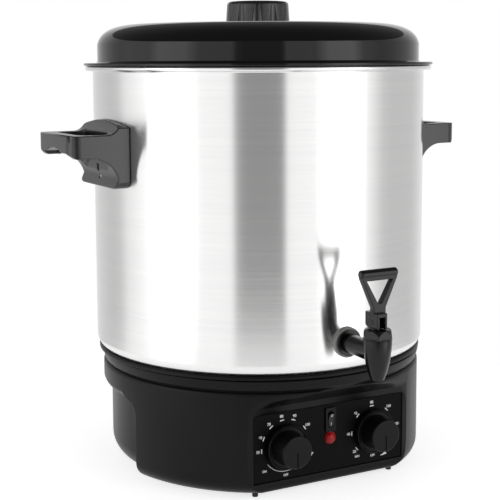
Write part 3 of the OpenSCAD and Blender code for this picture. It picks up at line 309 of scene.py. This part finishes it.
# %% Brushed stainless steel
# Real brush lines are about a tenth of a millimetre apart. They are drawn coarser, so that they
# show.
BRUSH_LENGTH_MM, BRUSH_LINE_MM = 333, 0.9
STREAK_LENGTH_MM, STREAK_LINE_MM = 667, 7
STREAK_SHARE = 0.45
STEEL_NOISE = (0.3, 0.7)
STEEL_ROUGHNESS = (0.17, 0.21)
RANGE_ENDS = ("From Min", "From Max", "To Min", "To Max")
RELIEF_MM = 0.2


def stroke_scale(length_mm, line_mm):
    """The scale of a pattern that is long round the kettle and narrow along its height."""
    return (1 / (length_mm * MM), 1 / (length_mm * MM), 1 / (line_mm * MM))


# Drawn steel, brushed round the kettle: fine level lines, and upright lights with soft edges.
brushed, tree, shader, coordinates = new_material("brushed stainless steel")
noises = []
for scale, detail, roughness in (
    (stroke_scale(BRUSH_LENGTH_MM, BRUSH_LINE_MM), 3, 0.7),
    (stroke_scale(STREAK_LENGTH_MM, STREAK_LINE_MM), 2, 0.5),
):
    drawn = add(tree, "ShaderNodeMapping", values={"Scale": scale}, links={"Vector": coordinates})
    noise = add(
        tree, "ShaderNodeTexNoise", values={"Scale": 1, "Detail": detail, "Roughness": roughness},
        links={"Vector": drawn.outputs[0]},
    )
    noises.append(noise.outputs["Fac"])
lines, streaks = noises
mixed = add(
    tree, "ShaderNodeMix", values={"Factor": STREAK_SHARE}, links={"A": lines, "B": streaks}
)
tone = add(
    tree, "ShaderNodeValToRGB", links={"Fac": mixed.outputs["Result"]},
    stops=list(zip(STEEL_NOISE, (linear("#e5e5e5"), linear("#ececeb")))),
)
tree.links.new(tone.outputs["Color"], shader.inputs["Base Color"])
ranges = dict(zip(RANGE_ENDS, STEEL_NOISE + STEEL_ROUGHNESS))
gloss = add(tree, "ShaderNodeMapRange", values=ranges, links={"Value": lines})
tree.links.new(gloss.outputs[0], shader.inputs["Roughness"])
shader.inputs["Metallic"].default_value = 1
shader.inputs["Anisotropic"].default_value = 0.8
shader.inputs["Anisotropic Rotation"].default_value = 0.25
tangent = add(tree, "ShaderNodeTangent", direction_type="RADIAL", axis="Z")
tree.links.new(tangent.outputs[0], shader.inputs["Tangent"])
relief = add(
    tree, "ShaderNodeBump", values={"Strength": 0.02, "Distance": RELIEF_MM * MM},
    links={"Height": lines},
)
tree.links.new(relief.outputs[0], shader.inputs["Normal"])
finishes = {"brushed_steel": brushed}
print("finish", brushed.name)

# %% A finish with a grain
# Moulded grain is finer than a pixel, so the grain sizes below are coarser than the real ones.
GRAIN_NOISE = (0.35, 0.65)


def grained(name, tones, roughness, grain_mm, bump, metallic=0.0, ior=1.5, patch_mm=40):
    """A moulded or cast finish: slow patches of two tones, and a grain in relief and gloss."""
    made, tree, shader, coordinates = new_material(name)
    patches, grain = [
        add(
            tree, "ShaderNodeTexNoise", values={"Scale": 1 / (size_mm * MM), "Detail": detail},
            links={"Vector": coordinates},
        ).outputs["Fac"]
        for size_mm, detail in ((patch_mm, 3), (grain_mm, 2))
    ]
    tone = add(
        tree, "ShaderNodeValToRGB", links={"Fac": patches},
        stops=[(place, linear(colour)) for place, colour in zip(GRAIN_NOISE, tones)],
    )
    tree.links.new(tone.outputs["Color"], shader.inputs["Base Color"])
    ranges = dict(zip(RANGE_ENDS, GRAIN_NOISE + roughness))
    gloss = add(tree, "ShaderNodeMapRange", values=ranges, links={"Value": grain})
    tree.links.new(gloss.outputs[0], shader.inputs["Roughness"])
    relief = add(
        tree, "ShaderNodeBump", values={"Strength": bump, "Distance": RELIEF_MM * MM},
        links={"Height": grain},
    )
    tree.links.new(relief.outputs[0], shader.inputs["Normal"])
    shader.inputs["Metallic"].default_value = metallic
    if not metallic:
        shader.inputs["IOR"].default_value = ior
    return made


# %% Black plastics and ink
# Moulded in a polished tool: a deep black that mirrors the studio.
finishes["gloss_black"] = grained(
    "polished black ABS", ("#040404", "#060606"), (0.03, 0.07), 3.0, 0.03, ior=1.42
)
# Moulded in an etched tool: a soft sheen without mirror images.
finishes["satin_black"] = grained(
    "satin black polypropylene", ("#080808", "#0b0b0b"), (0.32, 0.40), 0.8, 0.12, ior=1.26
)
# A matt printed plate: the darkest of the blacks, with hardly any sheen.
finishes["panel_black"] = grained(
    "printed black polycarbonate", ("#060606", "#080808"), (0.36, 0.44), 0.5, 0.08, ior=1.16
)
# A plain tool: a dull gloss with a faint grain.
finishes["tap_black"] = grained(
    "moulded black polypropylene", ("#060606", "#090909"), (0.18, 0.26), 0.9, 0.10, ior=1.38
)
# A hard, dense moulding that stands heat: it looks greyer, because it mirrors more light.
finishes["handle_black"] = grained(
    "moulded black phenolic", ("#0e0e0e", "#121212"), (0.20, 0.28), 0.9, 0.10, ior=1.62
)
# A dry film on the panel: flat white.
white_ink = grained("screen printed white ink", ("#f0f0ee", "#f6f6f4"), (0.50, 0.60), 0.4, 0.10)
print("finishes", sorted(finishes))

# %% Rubber, inner metals and devices
# Soft and slightly dusty: a pale grey without gloss.
finishes["silicone"] = grained(
    "grey silicone rubber", ("#8e8f8c", "#999a97"), (0.50, 0.60), 0.8, 0.10, ior=1.41
)
# Matt black that hides its edges.
finishes["foot_rubber"] = grained("black rubber", ("#0d0d0d", "#131313"), (0.60, 0.75), 0.6, 0.20)
# Plated screws and nuts: a warm, dull silver.
finishes["zinc"] = grained(
    "zinc plated steel", ("#a9aaa4", "#b8b7ae"), (0.28, 0.40), 0.8, 0.06, metallic=1.0
)
# Drawn wire: a darker, smoother grey.
finishes["spring_steel"] = grained(
    "drawn spring steel", ("#8d8d8e", "#a0a0a0"), (0.25, 0.35), 0.8, 0.06, metallic=1.0
)
# Rolled sheet: a light, soft sheen.
finishes["heater_aluminium"] = grained(
    "rolled aluminium", ("#c2c3c4", "#d0d0d1"), (0.35, 0.45), 1.0, 0.08, metallic=1.0
)
# Steel that has been hot: brown clouds over a dull grey.
finishes["element_steel"] = grained(
    "heat stained steel", ("#4d443c", "#6d6258"), (0.40, 0.55), 1.0, 0.08, metallic=1.0, patch_mm=12
)
# Drawn tube: a warm red metal.
finishes["copper"] = grained(
    "drawn copper", ("#b0714c", "#c98a62"), (0.28, 0.38), 1.0, 0.06, metallic=1.0
)
# Moulded device bodies: a dull cream.
finishes["device_plastic"] = grained(
    "cream phenolic moulding", ("#c9bfa8", "#d4cbb6"), (0.40, 0.50), 0.8, 0.10
)
# Sleeves that stand heat: a flat brown.
finishes["wire_sleeve"] = grained(
    "brown silicone sleeve", ("#5a2f1c", "#693a25"), (0.45, 0.55), 0.8, 0.10
)
print("finishes", sorted(finishes))

# %% Clear red acrylic
LENS_CLOUD_MM = 3
LENS_NOISE = (0.3, 0.7)
LENS_LOOK = {
    "Roughness": 0.12,
    "IOR": 1.36,
    "Subsurface Weight": 0.4,
    "Subsurface Radius": (0.004, 0.0008, 0.0008),
    "Subsurface Scale": 1.0,
}
# Dyed and moulded clear: light enters the lens, so it glows a little round where it falls.
lamp_red, tree, shader, coordinates = new_material("clear red acrylic")
clouds = add(
    tree, "ShaderNodeTexNoise", values={"Scale": 1 / (LENS_CLOUD_MM * MM), "Detail": 1},
    links={"Vector": coordinates},
)
tone = add(
    tree, "ShaderNodeValToRGB", links={"Fac": clouds.outputs["Fac"]},
    stops=list(zip(LENS_NOISE, (linear("#a0080e"), linear("#bd0f16")))),
)
tree.links.new(tone.outputs["Color"], shader.inputs["Base Color"])
for name, value in LENS_LOOK.items():
    shader.inputs[name].default_value = value
finishes["lamp_red"] = lamp_red
print("finish", lamp_red.name)

# %% Dress every solid
RECORD = frame["record"]
SLOT_OF = {row["node"]: row["material_slot"] for row in RECORD["subparts"]}
# A slot names a kind of material. These pieces of a kind are moulded from another grade.
FINISH_OF = {
    **SLOT_OF, "left_handle": "handle_black", "right_handle": "handle_black",
    "lid_knob": "handle_black", "lever_pin": "tap_black",
}
BODY_OF = {node: body for body, group in RECORD["behaviour"]["bodies"].items() for node in group}
for node, thing in NODES.items():
    thing.data.materials.clear()
    thing.data.materials.append(finishes[FINISH_OF[node]])
print("dressed", len(NODES), "solids in", len(set(FINISH_OF.values())), "finishes")

# %% [markdown]
# ## Turned pieces
# The kettle is deep drawn and the lid is moulded, and both are round about one upright axis.
# Such a piece could be a stack of cylinders, but one half outline that is spun about the axis
# gives every wall, fillet and rolled edge in one smooth skin, as a lathe would.

# %% Helpers that finish a piece
SMOOTH_ANGLE = math.radians(40)


def finish_piece(name, mesh_in_progress, material, body, stands_for=()):
    """Turns a bmesh into a smooth piece that rides on a body and hides what it stands for."""
    data = bpy.data.meshes.new(name)
    mesh_in_progress.to_mesh(data)
    mesh_in_progress.free()
    made = bpy.data.objects.new(name, data)
    scene.collection.objects.link(made)
    data.polygons.foreach_set("use_smooth", [True] * len(data.polygons))
    data.set_sharp_from_angle(angle=SMOOTH_ANGLE)
    data.materials.append(material)
    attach(made, body)
    for node in stands_for:
        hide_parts(node)
    print(name, "faces", len(data.polygons))
    return made


def node_piece(name, mesh_in_progress, node, stands_for):
    """A finished piece with the finish and the body of a node."""
    material = finishes[FINISH_OF[node]]
    return finish_piece(
        name, mesh_in_progress, material, BODY_OF[node], stands_for
    )


# %% Helpers that draw and spin an outline
SPIN_STEPS = 192
WELD_M = 1e-6


def arc_mm(middle, radius, start, end, steps=10):
    """Points of an arc in an outline, in millimetres and degrees."""
    turns = [math.radians(start + (end - start) * i / steps) for i in range(steps + 1)]
    return [(middle[0] + radius * math.cos(t), middle[1] + radius * math.sin(t)) for t in turns]


def bend_mm(start, corner, end, steps=14):
    """Points of a soft bend that leaves one point towards a corner and arrives at another."""
    points = []
    for t in (i / steps for i in range(steps + 1)):
        shares = ((1 - t) ** 2, 2 * t * (1 - t), t * t)
        points.append(tuple(
            sum(share * point[k] for share, point in zip(shares, (start, corner, end)))
            for k in (0, 1)
        ))
    return points


def turned_piece(name, outline_mm, node, stands_for):
    """Spins a half outline of (radius, height) points about the kettle's axis."""
    shape = bmesh.new()
    points = [shape.verts.new(AXIS + Vector((r * MM, 0, z * MM))) for r, z in outline_mm]
    edges = [shape.edges.new(pair) for pair in zip(points, points[1:])]
    bmesh.ops.spin(
        shape, geom=points + edges, cent=AXIS, axis=UP, angle=2 * math.pi, steps=SPIN_STEPS,
        use_merge=True,
    )
    bmesh.ops.remove_doubles(shape, verts=shape.verts, dist=WELD_M)
    bmesh.ops.recalc_face_normals(shape, faces=shape.faces)
    return node_piece(name, shape, node, stands_for)


# %% Kettle
KETTLE_R = 177
KETTLE_WALL = 1
KETTLE_CORNER = 14
RIM_R = 2.5
RIM_OUT = 8
RIM_FILLET = 1.5
seat = kettle_low.z / MM
rim = kettle_high.z / MM
corner = (KETTLE_R - KETTLE_CORNER, seat + KETTLE_CORNER)
fillet = (KETTLE_R + RIM_FILLET, rim - 2 * RIM_R - RIM_FILLET)
kettle_outline = [
    (0, seat),
    *arc_mm(corner, KETTLE_CORNER, -90, 0),
    *arc_mm(fillet, RIM_FILLET, 180, 90, 5),
    *arc_mm((KETTLE_R + RIM_OUT - RIM_R, rim - RIM_R), RIM_R, -90, 90),
    (KETTLE_R - KETTLE_WALL, rim),
    *arc_mm(corner, KETTLE_CORNER - KETTLE_WALL, 0, -90),
    (0, seat + KETTLE_WALL),
]
turned_piece("kettle_drawing", kettle_outline, "kettle", ["kettle"])

# %% Lid
LID_FLANGE_R = 186.5
LID_FLANGE_T = 3
LID_EDGE = 1
LID_WALL_R = 172
LID_WALL_TOP = 22
LID_FILLET = 2.5
LID_T = 2.5
LID_SKIRT = 8
LID_SKIRT_R = (174, 171.5)
LID_CROWN_R = 142
CROWN_LEVEL_R = 0.6 * LID_CROWN_R
KNOB_SEAT_R = 34.5
OUTER_BEND = 3.5
INNER_BEND = 6
lid_low, lid_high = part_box("lid")
lid_seat = lid_low.z / MM + LID_SKIRT
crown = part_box("lid_crown")[1].z / MM - lid_seat
shoulder = lid_high.z / MM - lid_seat
wall_in = LID_WALL_R - LID_T
rounding = LID_FLANGE_R - LID_EDGE
lid_outline = [
    *bend_mm((0, crown), (CROWN_LEVEL_R, crown), (LID_CROWN_R, shoulder)),
    *bend_mm(
        (LID_CROWN_R, shoulder),
        (LID_WALL_R - OUTER_BEND, shoulder - OUTER_BEND),
        (LID_WALL_R, LID_WALL_TOP),
    )[1:],
    *arc_mm((LID_WALL_R + LID_FILLET, LID_FLANGE_T + LID_FILLET), LID_FILLET, 180, 270, 6),
    *arc_mm((rounding, LID_FLANGE_T - LID_EDGE), LID_EDGE, 90, 0, 4),
    *arc_mm((rounding, LID_EDGE), LID_EDGE, 0, -90, 4),
    (LID_SKIRT_R[0], 0), (LID_SKIRT_R[0], -LID_SKIRT),
    (LID_SKIRT_R[1], -LID_SKIRT), (LID_SKIRT_R[1], 0),
    (wall_in, 0),
    *bend_mm(
        (wall_in, LID_WALL_TOP),
        (LID_WALL_R - INNER_BEND, shoulder - INNER_BEND),
        (LID_CROWN_R - LID_T / 2, shoulder - LID_T),
    ),
    (KNOB_SEAT_R, crown - LID_T), (0, crown - LID_T),
]
lid_outline = [(r, z + lid_seat) for r, z in lid_outline]
turned_piece("lid_moulding", lid_outline, "lid", ["lid", "lid_crown"])

# %% [markdown]
# ## The base's flat front
# The control panel sits in a flat that is cut off the round base. On the real moulding a large
# radius leads over from the round to the flat. A bevel is too narrow for that, so the faces
# round the flat are sliced finely, and the points there are smoothed until the edge melts away.

# %% Slices through the edge of the flat
FLAT_Y_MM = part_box("control_panel")[0].y / MM - 1
FLAT_LOW_MM = 22
HEAD_MM = (87, 107)
HEAD_CUT_MM = (85, 111)
HEAD_CUT_DEEP = 8
SIDE_MM = (89, 103)
SIDE_CUT_MM = (88, 106)
SIDE_CUT_TOP = 89
SIDE_CUT_DEEP = 16


def welded(node):
    """A bmesh copy of a node's solid with its loose triangles joined up."""
    shape = bmesh.new()
    shape.from_mesh(NODES[node].data)
    bmesh.ops.remove_doubles(shape, verts=shape.verts, dist=WELD_M)
    return shape


def sliced(shape, chosen, direction, places_mm):
    """Cuts the chosen faces of a bmesh by planes across a direction."""
    for place in places_mm:
        parts = set()
        for face in shape.faces:
            if chosen(face.calc_center_median() / MM):
                parts.update([face, *face.edges, *face.verts])
        bmesh.ops.bisect_plane(
            shape, geom=list(parts), dist=WELD_M, plane_co=direction * place * MM,
            plane_no=direction,
        )


def in_head(spot):
    """Whether a place in millimetres lies on the edge above the flat."""
    return spot.y < FLAT_Y_MM + HEAD_CUT_DEEP and HEAD_CUT_MM[0] < spot.z < HEAD_CUT_MM[1]


def in_side(spot):
    """Whether a place in millimetres lies on the edges beside the flat."""
    return (
        spot.y < FLAT_Y_MM + SIDE_CUT_DEEP
        and SIDE_CUT_MM[0] < abs(spot.x) < SIDE_CUT_MM[1]
        and FLAT_LOW_MM < spot.z < SIDE_CUT_TOP
    )


# %% Smoothed edge of the flat
RIGHT = Vector((1, 0, 0))
HEAD_HALF_MM = 100
HEAD_SOFT_DEEP, SIDE_SOFT_DEEP = 0.5, 12
ACROSS_STEP, EDGE_STEP, HEIGHT_STEP = 4, 2, 6
SMOOTHINGS = 30


def to_smooth(point):
    """Whether a point of the sliced base faces forwards and lies close to the flat's edge."""
    x, y, z = point.co / MM
    above = HEAD_MM[0] < z < HEAD_MM[1] and y < FLAT_Y_MM + HEAD_SOFT_DEEP
    beside = (
        SIDE_MM[0] < abs(x) < SIDE_MM[1]
        and FLAT_LOW_MM < z <= HEAD_MM[0]
        and y < FLAT_Y_MM + SIDE_SOFT_DEEP
    )
    return point.normal.y < 0 and (above or beside)


def blended_front(shape):
    """Slices the edge round the base's flat front finely and smooths it."""
    sliced(shape, in_head, RIGHT, range(-HEAD_HALF_MM, HEAD_HALF_MM + 1, ACROSS_STEP))
    sliced(shape, in_head, UP, range(HEAD_MM[0], HEAD_MM[1] + 1, EDGE_STEP))
    for sign in (-1, 1):
        places = range(SIDE_MM[0], SIDE_MM[1] + 1, EDGE_STEP)
        sliced(shape, in_side, RIGHT, [sign * place for place in places])
    sliced(shape, in_side, UP, range(FLAT_LOW_MM, HEAD_MM[0], HEIGHT_STEP))
    shape.normal_update()
    soft = [point for point in shape.verts if to_smooth(point)]
    for _ in range(SMOOTHINGS):
        bmesh.ops.smooth_vert(
            shape, verts=soft, factor=0.5, use_axis_x=True, use_axis_y=True, use_axis_z=True
        )
    print("flat front, smoothed points", len(soft))


# %% [markdown]
# ## Softened mouldings
# A moulded piece has no knife edges: every edge that sticks out carries a small radius that
# catches the light. A copy of the solid's mesh is welded, its flat facets are dissolved into
# whole faces, and the edges that turn sharply are bevelled. A radius doesn't fit everywhere, and
# a bevel that is limited everywhere by its tightest spot is hardly there at all. So a trial bevel
# without a limit shows where faces fold over, and the edges near those places stay sharp.

# %% Edges and their bevels
FLAT_ANGLE = math.radians(1.5)
SHARP_ANGLE = math.radians(28)
TINY_MM = 0.1


def cleaned(node):
    """A welded copy of a node's mesh with whole flat faces and no tiny edges."""
    shape = welded(node)
    bmesh.ops.dissolve_limit(shape, angle_limit=FLAT_ANGLE, verts=shape.verts, edges=shape.edges)
    bmesh.ops.dissolve_degenerate(shape, dist=TINY_MM * MM, edges=shape.edges)
    if node == "base_housing":
        blended_front(shape)
    return shape


def sharp_edges(shape):
    """The edges of a bmesh that stick out and turn sharply."""
    outward = [edge for edge in shape.edges if edge.is_convex]
    return [edge for edge in outward if edge.calc_face_angle(0) > SHARP_ANGLE]


def rounded(shape, edges, radius_mm):
    """Bevels edges of a bmesh to a radius."""
    bmesh.ops.bevel(
        shape, geom=edges, offset=radius_mm * MM, offset_type="OFFSET", affect="EDGES",
        segments=3, profile=0.5, material=-1, clamp_overlap=False,
    )
    shape.normal_update()


# %% Bevels that fit
FOLD_TURN = -0.2
FOLD_NEAR = 2
STRAY_SHARE = 1.2


def folds(shape, solid, radius_mm):
    """The places where a bevel turned a face over or strayed from the solid."""
    places = []
    for face in shape.faces:
        middle = face.calc_center_median()
        _, normal, _, distance = solid.find_nearest(middle)
        if face.normal.dot(normal) < FOLD_TURN or distance > STRAY_SHARE * radius_mm * MM:
            places.append(middle)
    tree = KDTree(len(places))
    for index, place in enumerate(places):
        tree.insert(place, index)
    tree.balance()
    return tree


def softened(node, radius_mm):
    """A moulding with its sharp edges rounded where a trial shows that the radius fits."""
    trial = cleaned(node)
    solid = BVHTree.FromBMesh(trial)
    rounded(trial, sharp_edges(trial), radius_mm)
    spoilt = folds(trial, solid, radius_mm)
    trial.free()
    shape = cleaned(node)
    fitting = []
    for edge in sharp_edges(shape):
        start, end = [point.co for point in edge.verts]
        spots = (start, end, (start + end) / 2)
        if not any(spoilt.find_range(spot, FOLD_NEAR * radius_mm * MM) for spot in spots):
            fitting.append(edge)
    rounded(shape, fitting, radius_mm)
    made = node_piece(node + "_moulding", shape, node, [node])
    # Large faces keep their flat shading, and only the bevels look rounded.
    weights = made.modifiers.new("face_weights", "WEIGHTED_NORMAL")
    weights.keep_sharp = True
    return made


# %% Softened copies of the solids
SOFT_EDGES_MM = dict(
    lid_knob=0.6, collar_ring=0.4, base_housing=0.8, control_panel=0.3, feet=0.5,
    left_handle=1.2, right_handle=1.2, thermostat_knob=0.3, timer_knob=0.3, lamp_lens=0.2,
    switch_body=0.3, switch_rocker=0.3, cord_gland=0.4, bottom_plate=0.3, tap_body=0.4,
    tap_washer=0.3, tap_bonnet=0.5, tap_lever=0.8,
)
for node, radius in SOFT_EDGES_MM.items():
    softened(node, radius)

# %% [markdown]
# ## The tap's spring
# A coil spring gets shorter when the lever draws the plunger up. A welded copy of its mesh,
# # with a mesh of its own, stands for it, and the middle of its top end under the bonnet is found.

# %% Spring copy
spring_low, spring_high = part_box("tap_spring")
spring_top = (spring_low + spring_high) / 2
spring_top.z = spring_high.z
spring = node_piece("tap_spring_coil", welded("tap_spring"), "tap_spring", ["tap_spring"])
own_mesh(spring)

# %% [markdown]
# ## Dial print
# The numbers and strokes round the dials are screen printed: a film of white ink a few
# hundredths of a millimetre thick. Letters start as a text curve, strokes as a short edge that
# is spun round the dial's middle. Each mark is laid on the solid by a ray that is shot at it,
# so that it follows the slant of the rocker as well as the flat panel.

# %% Letters and strokes
CAP_SHARE = 0.7
BOLD_MM = 0.13


def letters(text, cap_mm):
    """A flat bmesh of words, as tall as the capitals should be, about its own middle."""
    curve = bpy.data.curves.new("words", "FONT")
    curve.body = text
    curve.size = cap_mm * MM / CAP_SHARE
    curve.offset = BOLD_MM * MM
    curve.align_x = "CENTER"
    curve.align_y = "CENTER"
    words = bpy.data.objects.new("words", curve)
    flat = words.to_mesh()
    shape = bmesh.new()
    shape.from_mesh(flat)
    words.to_mesh_clear()
    bpy.data.objects.remove(words)
    bmesh.ops.remove_doubles(shape, verts=shape.verts, dist=WELD_M)
    return shape


def stroke(inner_mm, outer_mm, start, end, outer_end_mm=None, steps=8):
    """A flat bmesh of a stroke round the origin, between two angles in degrees from the right."""
    shape = bmesh.new()
    first = Matrix.Rotation(math.radians(start), 4, "Z")
    points = [shape.verts.new(first @ Vector((r * MM, 0, 0))) for r in (inner_mm, outer_mm)]
    edge = shape.edges.new(points)
    sweep = math.radians(end - start)
    bmesh.ops.spin(shape, geom=points + [edge], axis=UP, angle=sweep, steps=steps)
    bmesh.ops.recalc_face_normals(shape, faces=shape.faces)
    if outer_end_mm:
        for point in shape.verts:
            if point.co.length > (inner_mm + outer_mm) / 2 * MM:
                turn = math.degrees(math.atan2(point.co.y, point.co.x)) - start
                share = ((turn + 180) % 360 - 180) / (end - start)
                point.co *= 1 + share * (outer_end_mm / outer_mm - 1)
    return shape


# %% Ink on a solid
INK_MM = 0.06
INWARD = Vector((0, 1, 0))


def lay_on(shape, surface, x, z):
    """Gives a flat mark the thickness of ink and lays it where a ray at its middle lands."""
    middle = sum((point.co for point in shape.verts), Vector()) / len(shape.verts)
    start = Vector((x + middle.x, CAD_LOW.y - 1, z + middle.y))
    place, normal, _, _ = surface.ray_cast(start, INWARD)
    bmesh.ops.recalc_face_normals(shape, faces=shape.faces)
    for face in shape.faces:
        if face.normal.z < 0:
            face.normal_flip()
    film = bmesh.ops.extrude_face_region(shape, geom=shape.faces[:])
    tops = [part for part in film["geom"] if isinstance(part, bmesh.types.BMVert)]
    bmesh.ops.translate(shape, vec=UP * INK_MM * MM, verts=tops)
    bmesh.ops.recalc_face_normals(shape, faces=shape.faces)
    upwards = normal.cross(RIGHT).normalized()
    turn = Matrix((RIGHT, upwards, normal)).transposed().to_4x4()
    move = Matrix.Translation(place) @ turn @ Matrix.Translation(-middle)
    bmesh.ops.transform(shape, matrix=move, verts=shape.verts)


def printed(name, marks, node):
    """One piece of all marks on a node: each is (flat mark, x, z)."""
    solid = welded(node)
    surface = BVHTree.FromBMesh(solid)
    solid.free()
    gathered = bpy.data.meshes.new(name)
    whole = bmesh.new()
    for shape, x, z in marks:
        lay_on(shape, surface, x, z)
        shape.to_mesh(gathered)
        shape.free()
        whole.from_mesh(gathered)
    bpy.data.meshes.remove(gathered)
    return finish_piece(name, whole, white_ink, BODY_OF[node])


# %% Marks round a dial
NUMBER_MM = 2.7
WORD_MM = 2.2
TICK_HALF = 5


def middle_of(node):
    """The middle of a node's box."""
    low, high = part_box(node)
    return (low + high) / 2


def round_dial(middle, radius_mm, degrees):
    """The place on the panel at a distance and a direction from a dial's middle."""
    turn = math.radians(degrees)
    away = radius_mm * MM
    return middle.x + away * math.cos(turn), middle.z + away * math.sin(turn)


def scale_marks(middle, numbers, number_r, tick_r):
    """The numbers of a dial's scale and a tick below each."""
    marks = []
    for degrees, text in numbers.items():
        marks.append((letters(text, NUMBER_MM), *round_dial(middle, number_r, degrees)))
        tick = stroke(*tick_r, degrees - TICK_HALF, degrees + TICK_HALF)
        marks.append((tick, middle.x, middle.z))
    return marks


# %% Print round the thermostat's dial
HEAT_NUMBERS = {183: "50", 156: "60", 127: "70", 98: "80", 70: "90", 35: "100"}
HEAT_NUMBER_R, HEAT_TICK_R = 31, (26.4, 27.5)
HEAT_ARC_R, HEAT_ARC = (25.2, 25.8), (218, 291)
HEAT_WEDGE_R, HEAT_WEDGE, HEAT_WEDGE_END = (31, 31.4), (-38, -20), 34.5
HEAT_WORDS = {"ON": (32.5, 223), "OFF": (29.6, 271)}
ARC_STEPS = 24
heat = middle_of("thermostat_knob")
marks = scale_marks(heat, HEAT_NUMBERS, HEAT_NUMBER_R, HEAT_TICK_R)
marks.append((stroke(*HEAT_ARC_R, *HEAT_ARC, steps=ARC_STEPS), heat.x, heat.z))
marks.append((stroke(*HEAT_WEDGE_R, *HEAT_WEDGE, HEAT_WEDGE_END), heat.x, heat.z))
for text, place in HEAT_WORDS.items():
    marks.append((letters(text, WORD_MM), *round_dial(heat, *place)))
print("marks", len(marks))

# %% Print round the timer's dial
CLOCK_NUMBERS = {221: "20", 180: "40", 136: "60", 93: "80", 49: "100", 4: "120"}
CLOCK_NUMBER_R, CLOCK_TICK_R = 29.6, (25.2, 26.3)
CLOCK_WEDGE_R, CLOCK_WEDGE, CLOCK_WEDGE_END = (30, 30.4), (289, 302), 33
MINUTES_LEFT, MINUTES_DOWN = 19 * MM, 25 * MM
CLOCK_OFF = (27, 270)
clock = middle_of("timer_knob")
marks += scale_marks(clock, CLOCK_NUMBERS, CLOCK_NUMBER_R, CLOCK_TICK_R)
marks.append((stroke(*CLOCK_WEDGE_R, *CLOCK_WEDGE, CLOCK_WEDGE_END), clock.x, clock.z))
marks.append((letters("MIN", WORD_MM), clock.x - MINUTES_LEFT, clock.z - MINUTES_DOWN))
marks.append((letters("OFF", WORD_MM), *round_dial(clock, *CLOCK_OFF)))
printed("dial_print", marks, "control_panel")

# %% Marks on the rocker
ROCKER_MARK_UP = 4.6 * MM
RING_R = (0.9, 1.35)
RING_TURN = (0, 359.9)
BAR_MM = 2.4
rocker = middle_of("switch_rocker")
marks = [
    (stroke(*RING_R, *RING_TURN, steps=ARC_STEPS), rocker.x, rocker.z + ROCKER_MARK_UP),
    (letters("I", BAR_MM), rocker.x, rocker.z - ROCKER_MARK_UP),
]
printed("rocker_print", marks, "switch_rocker")
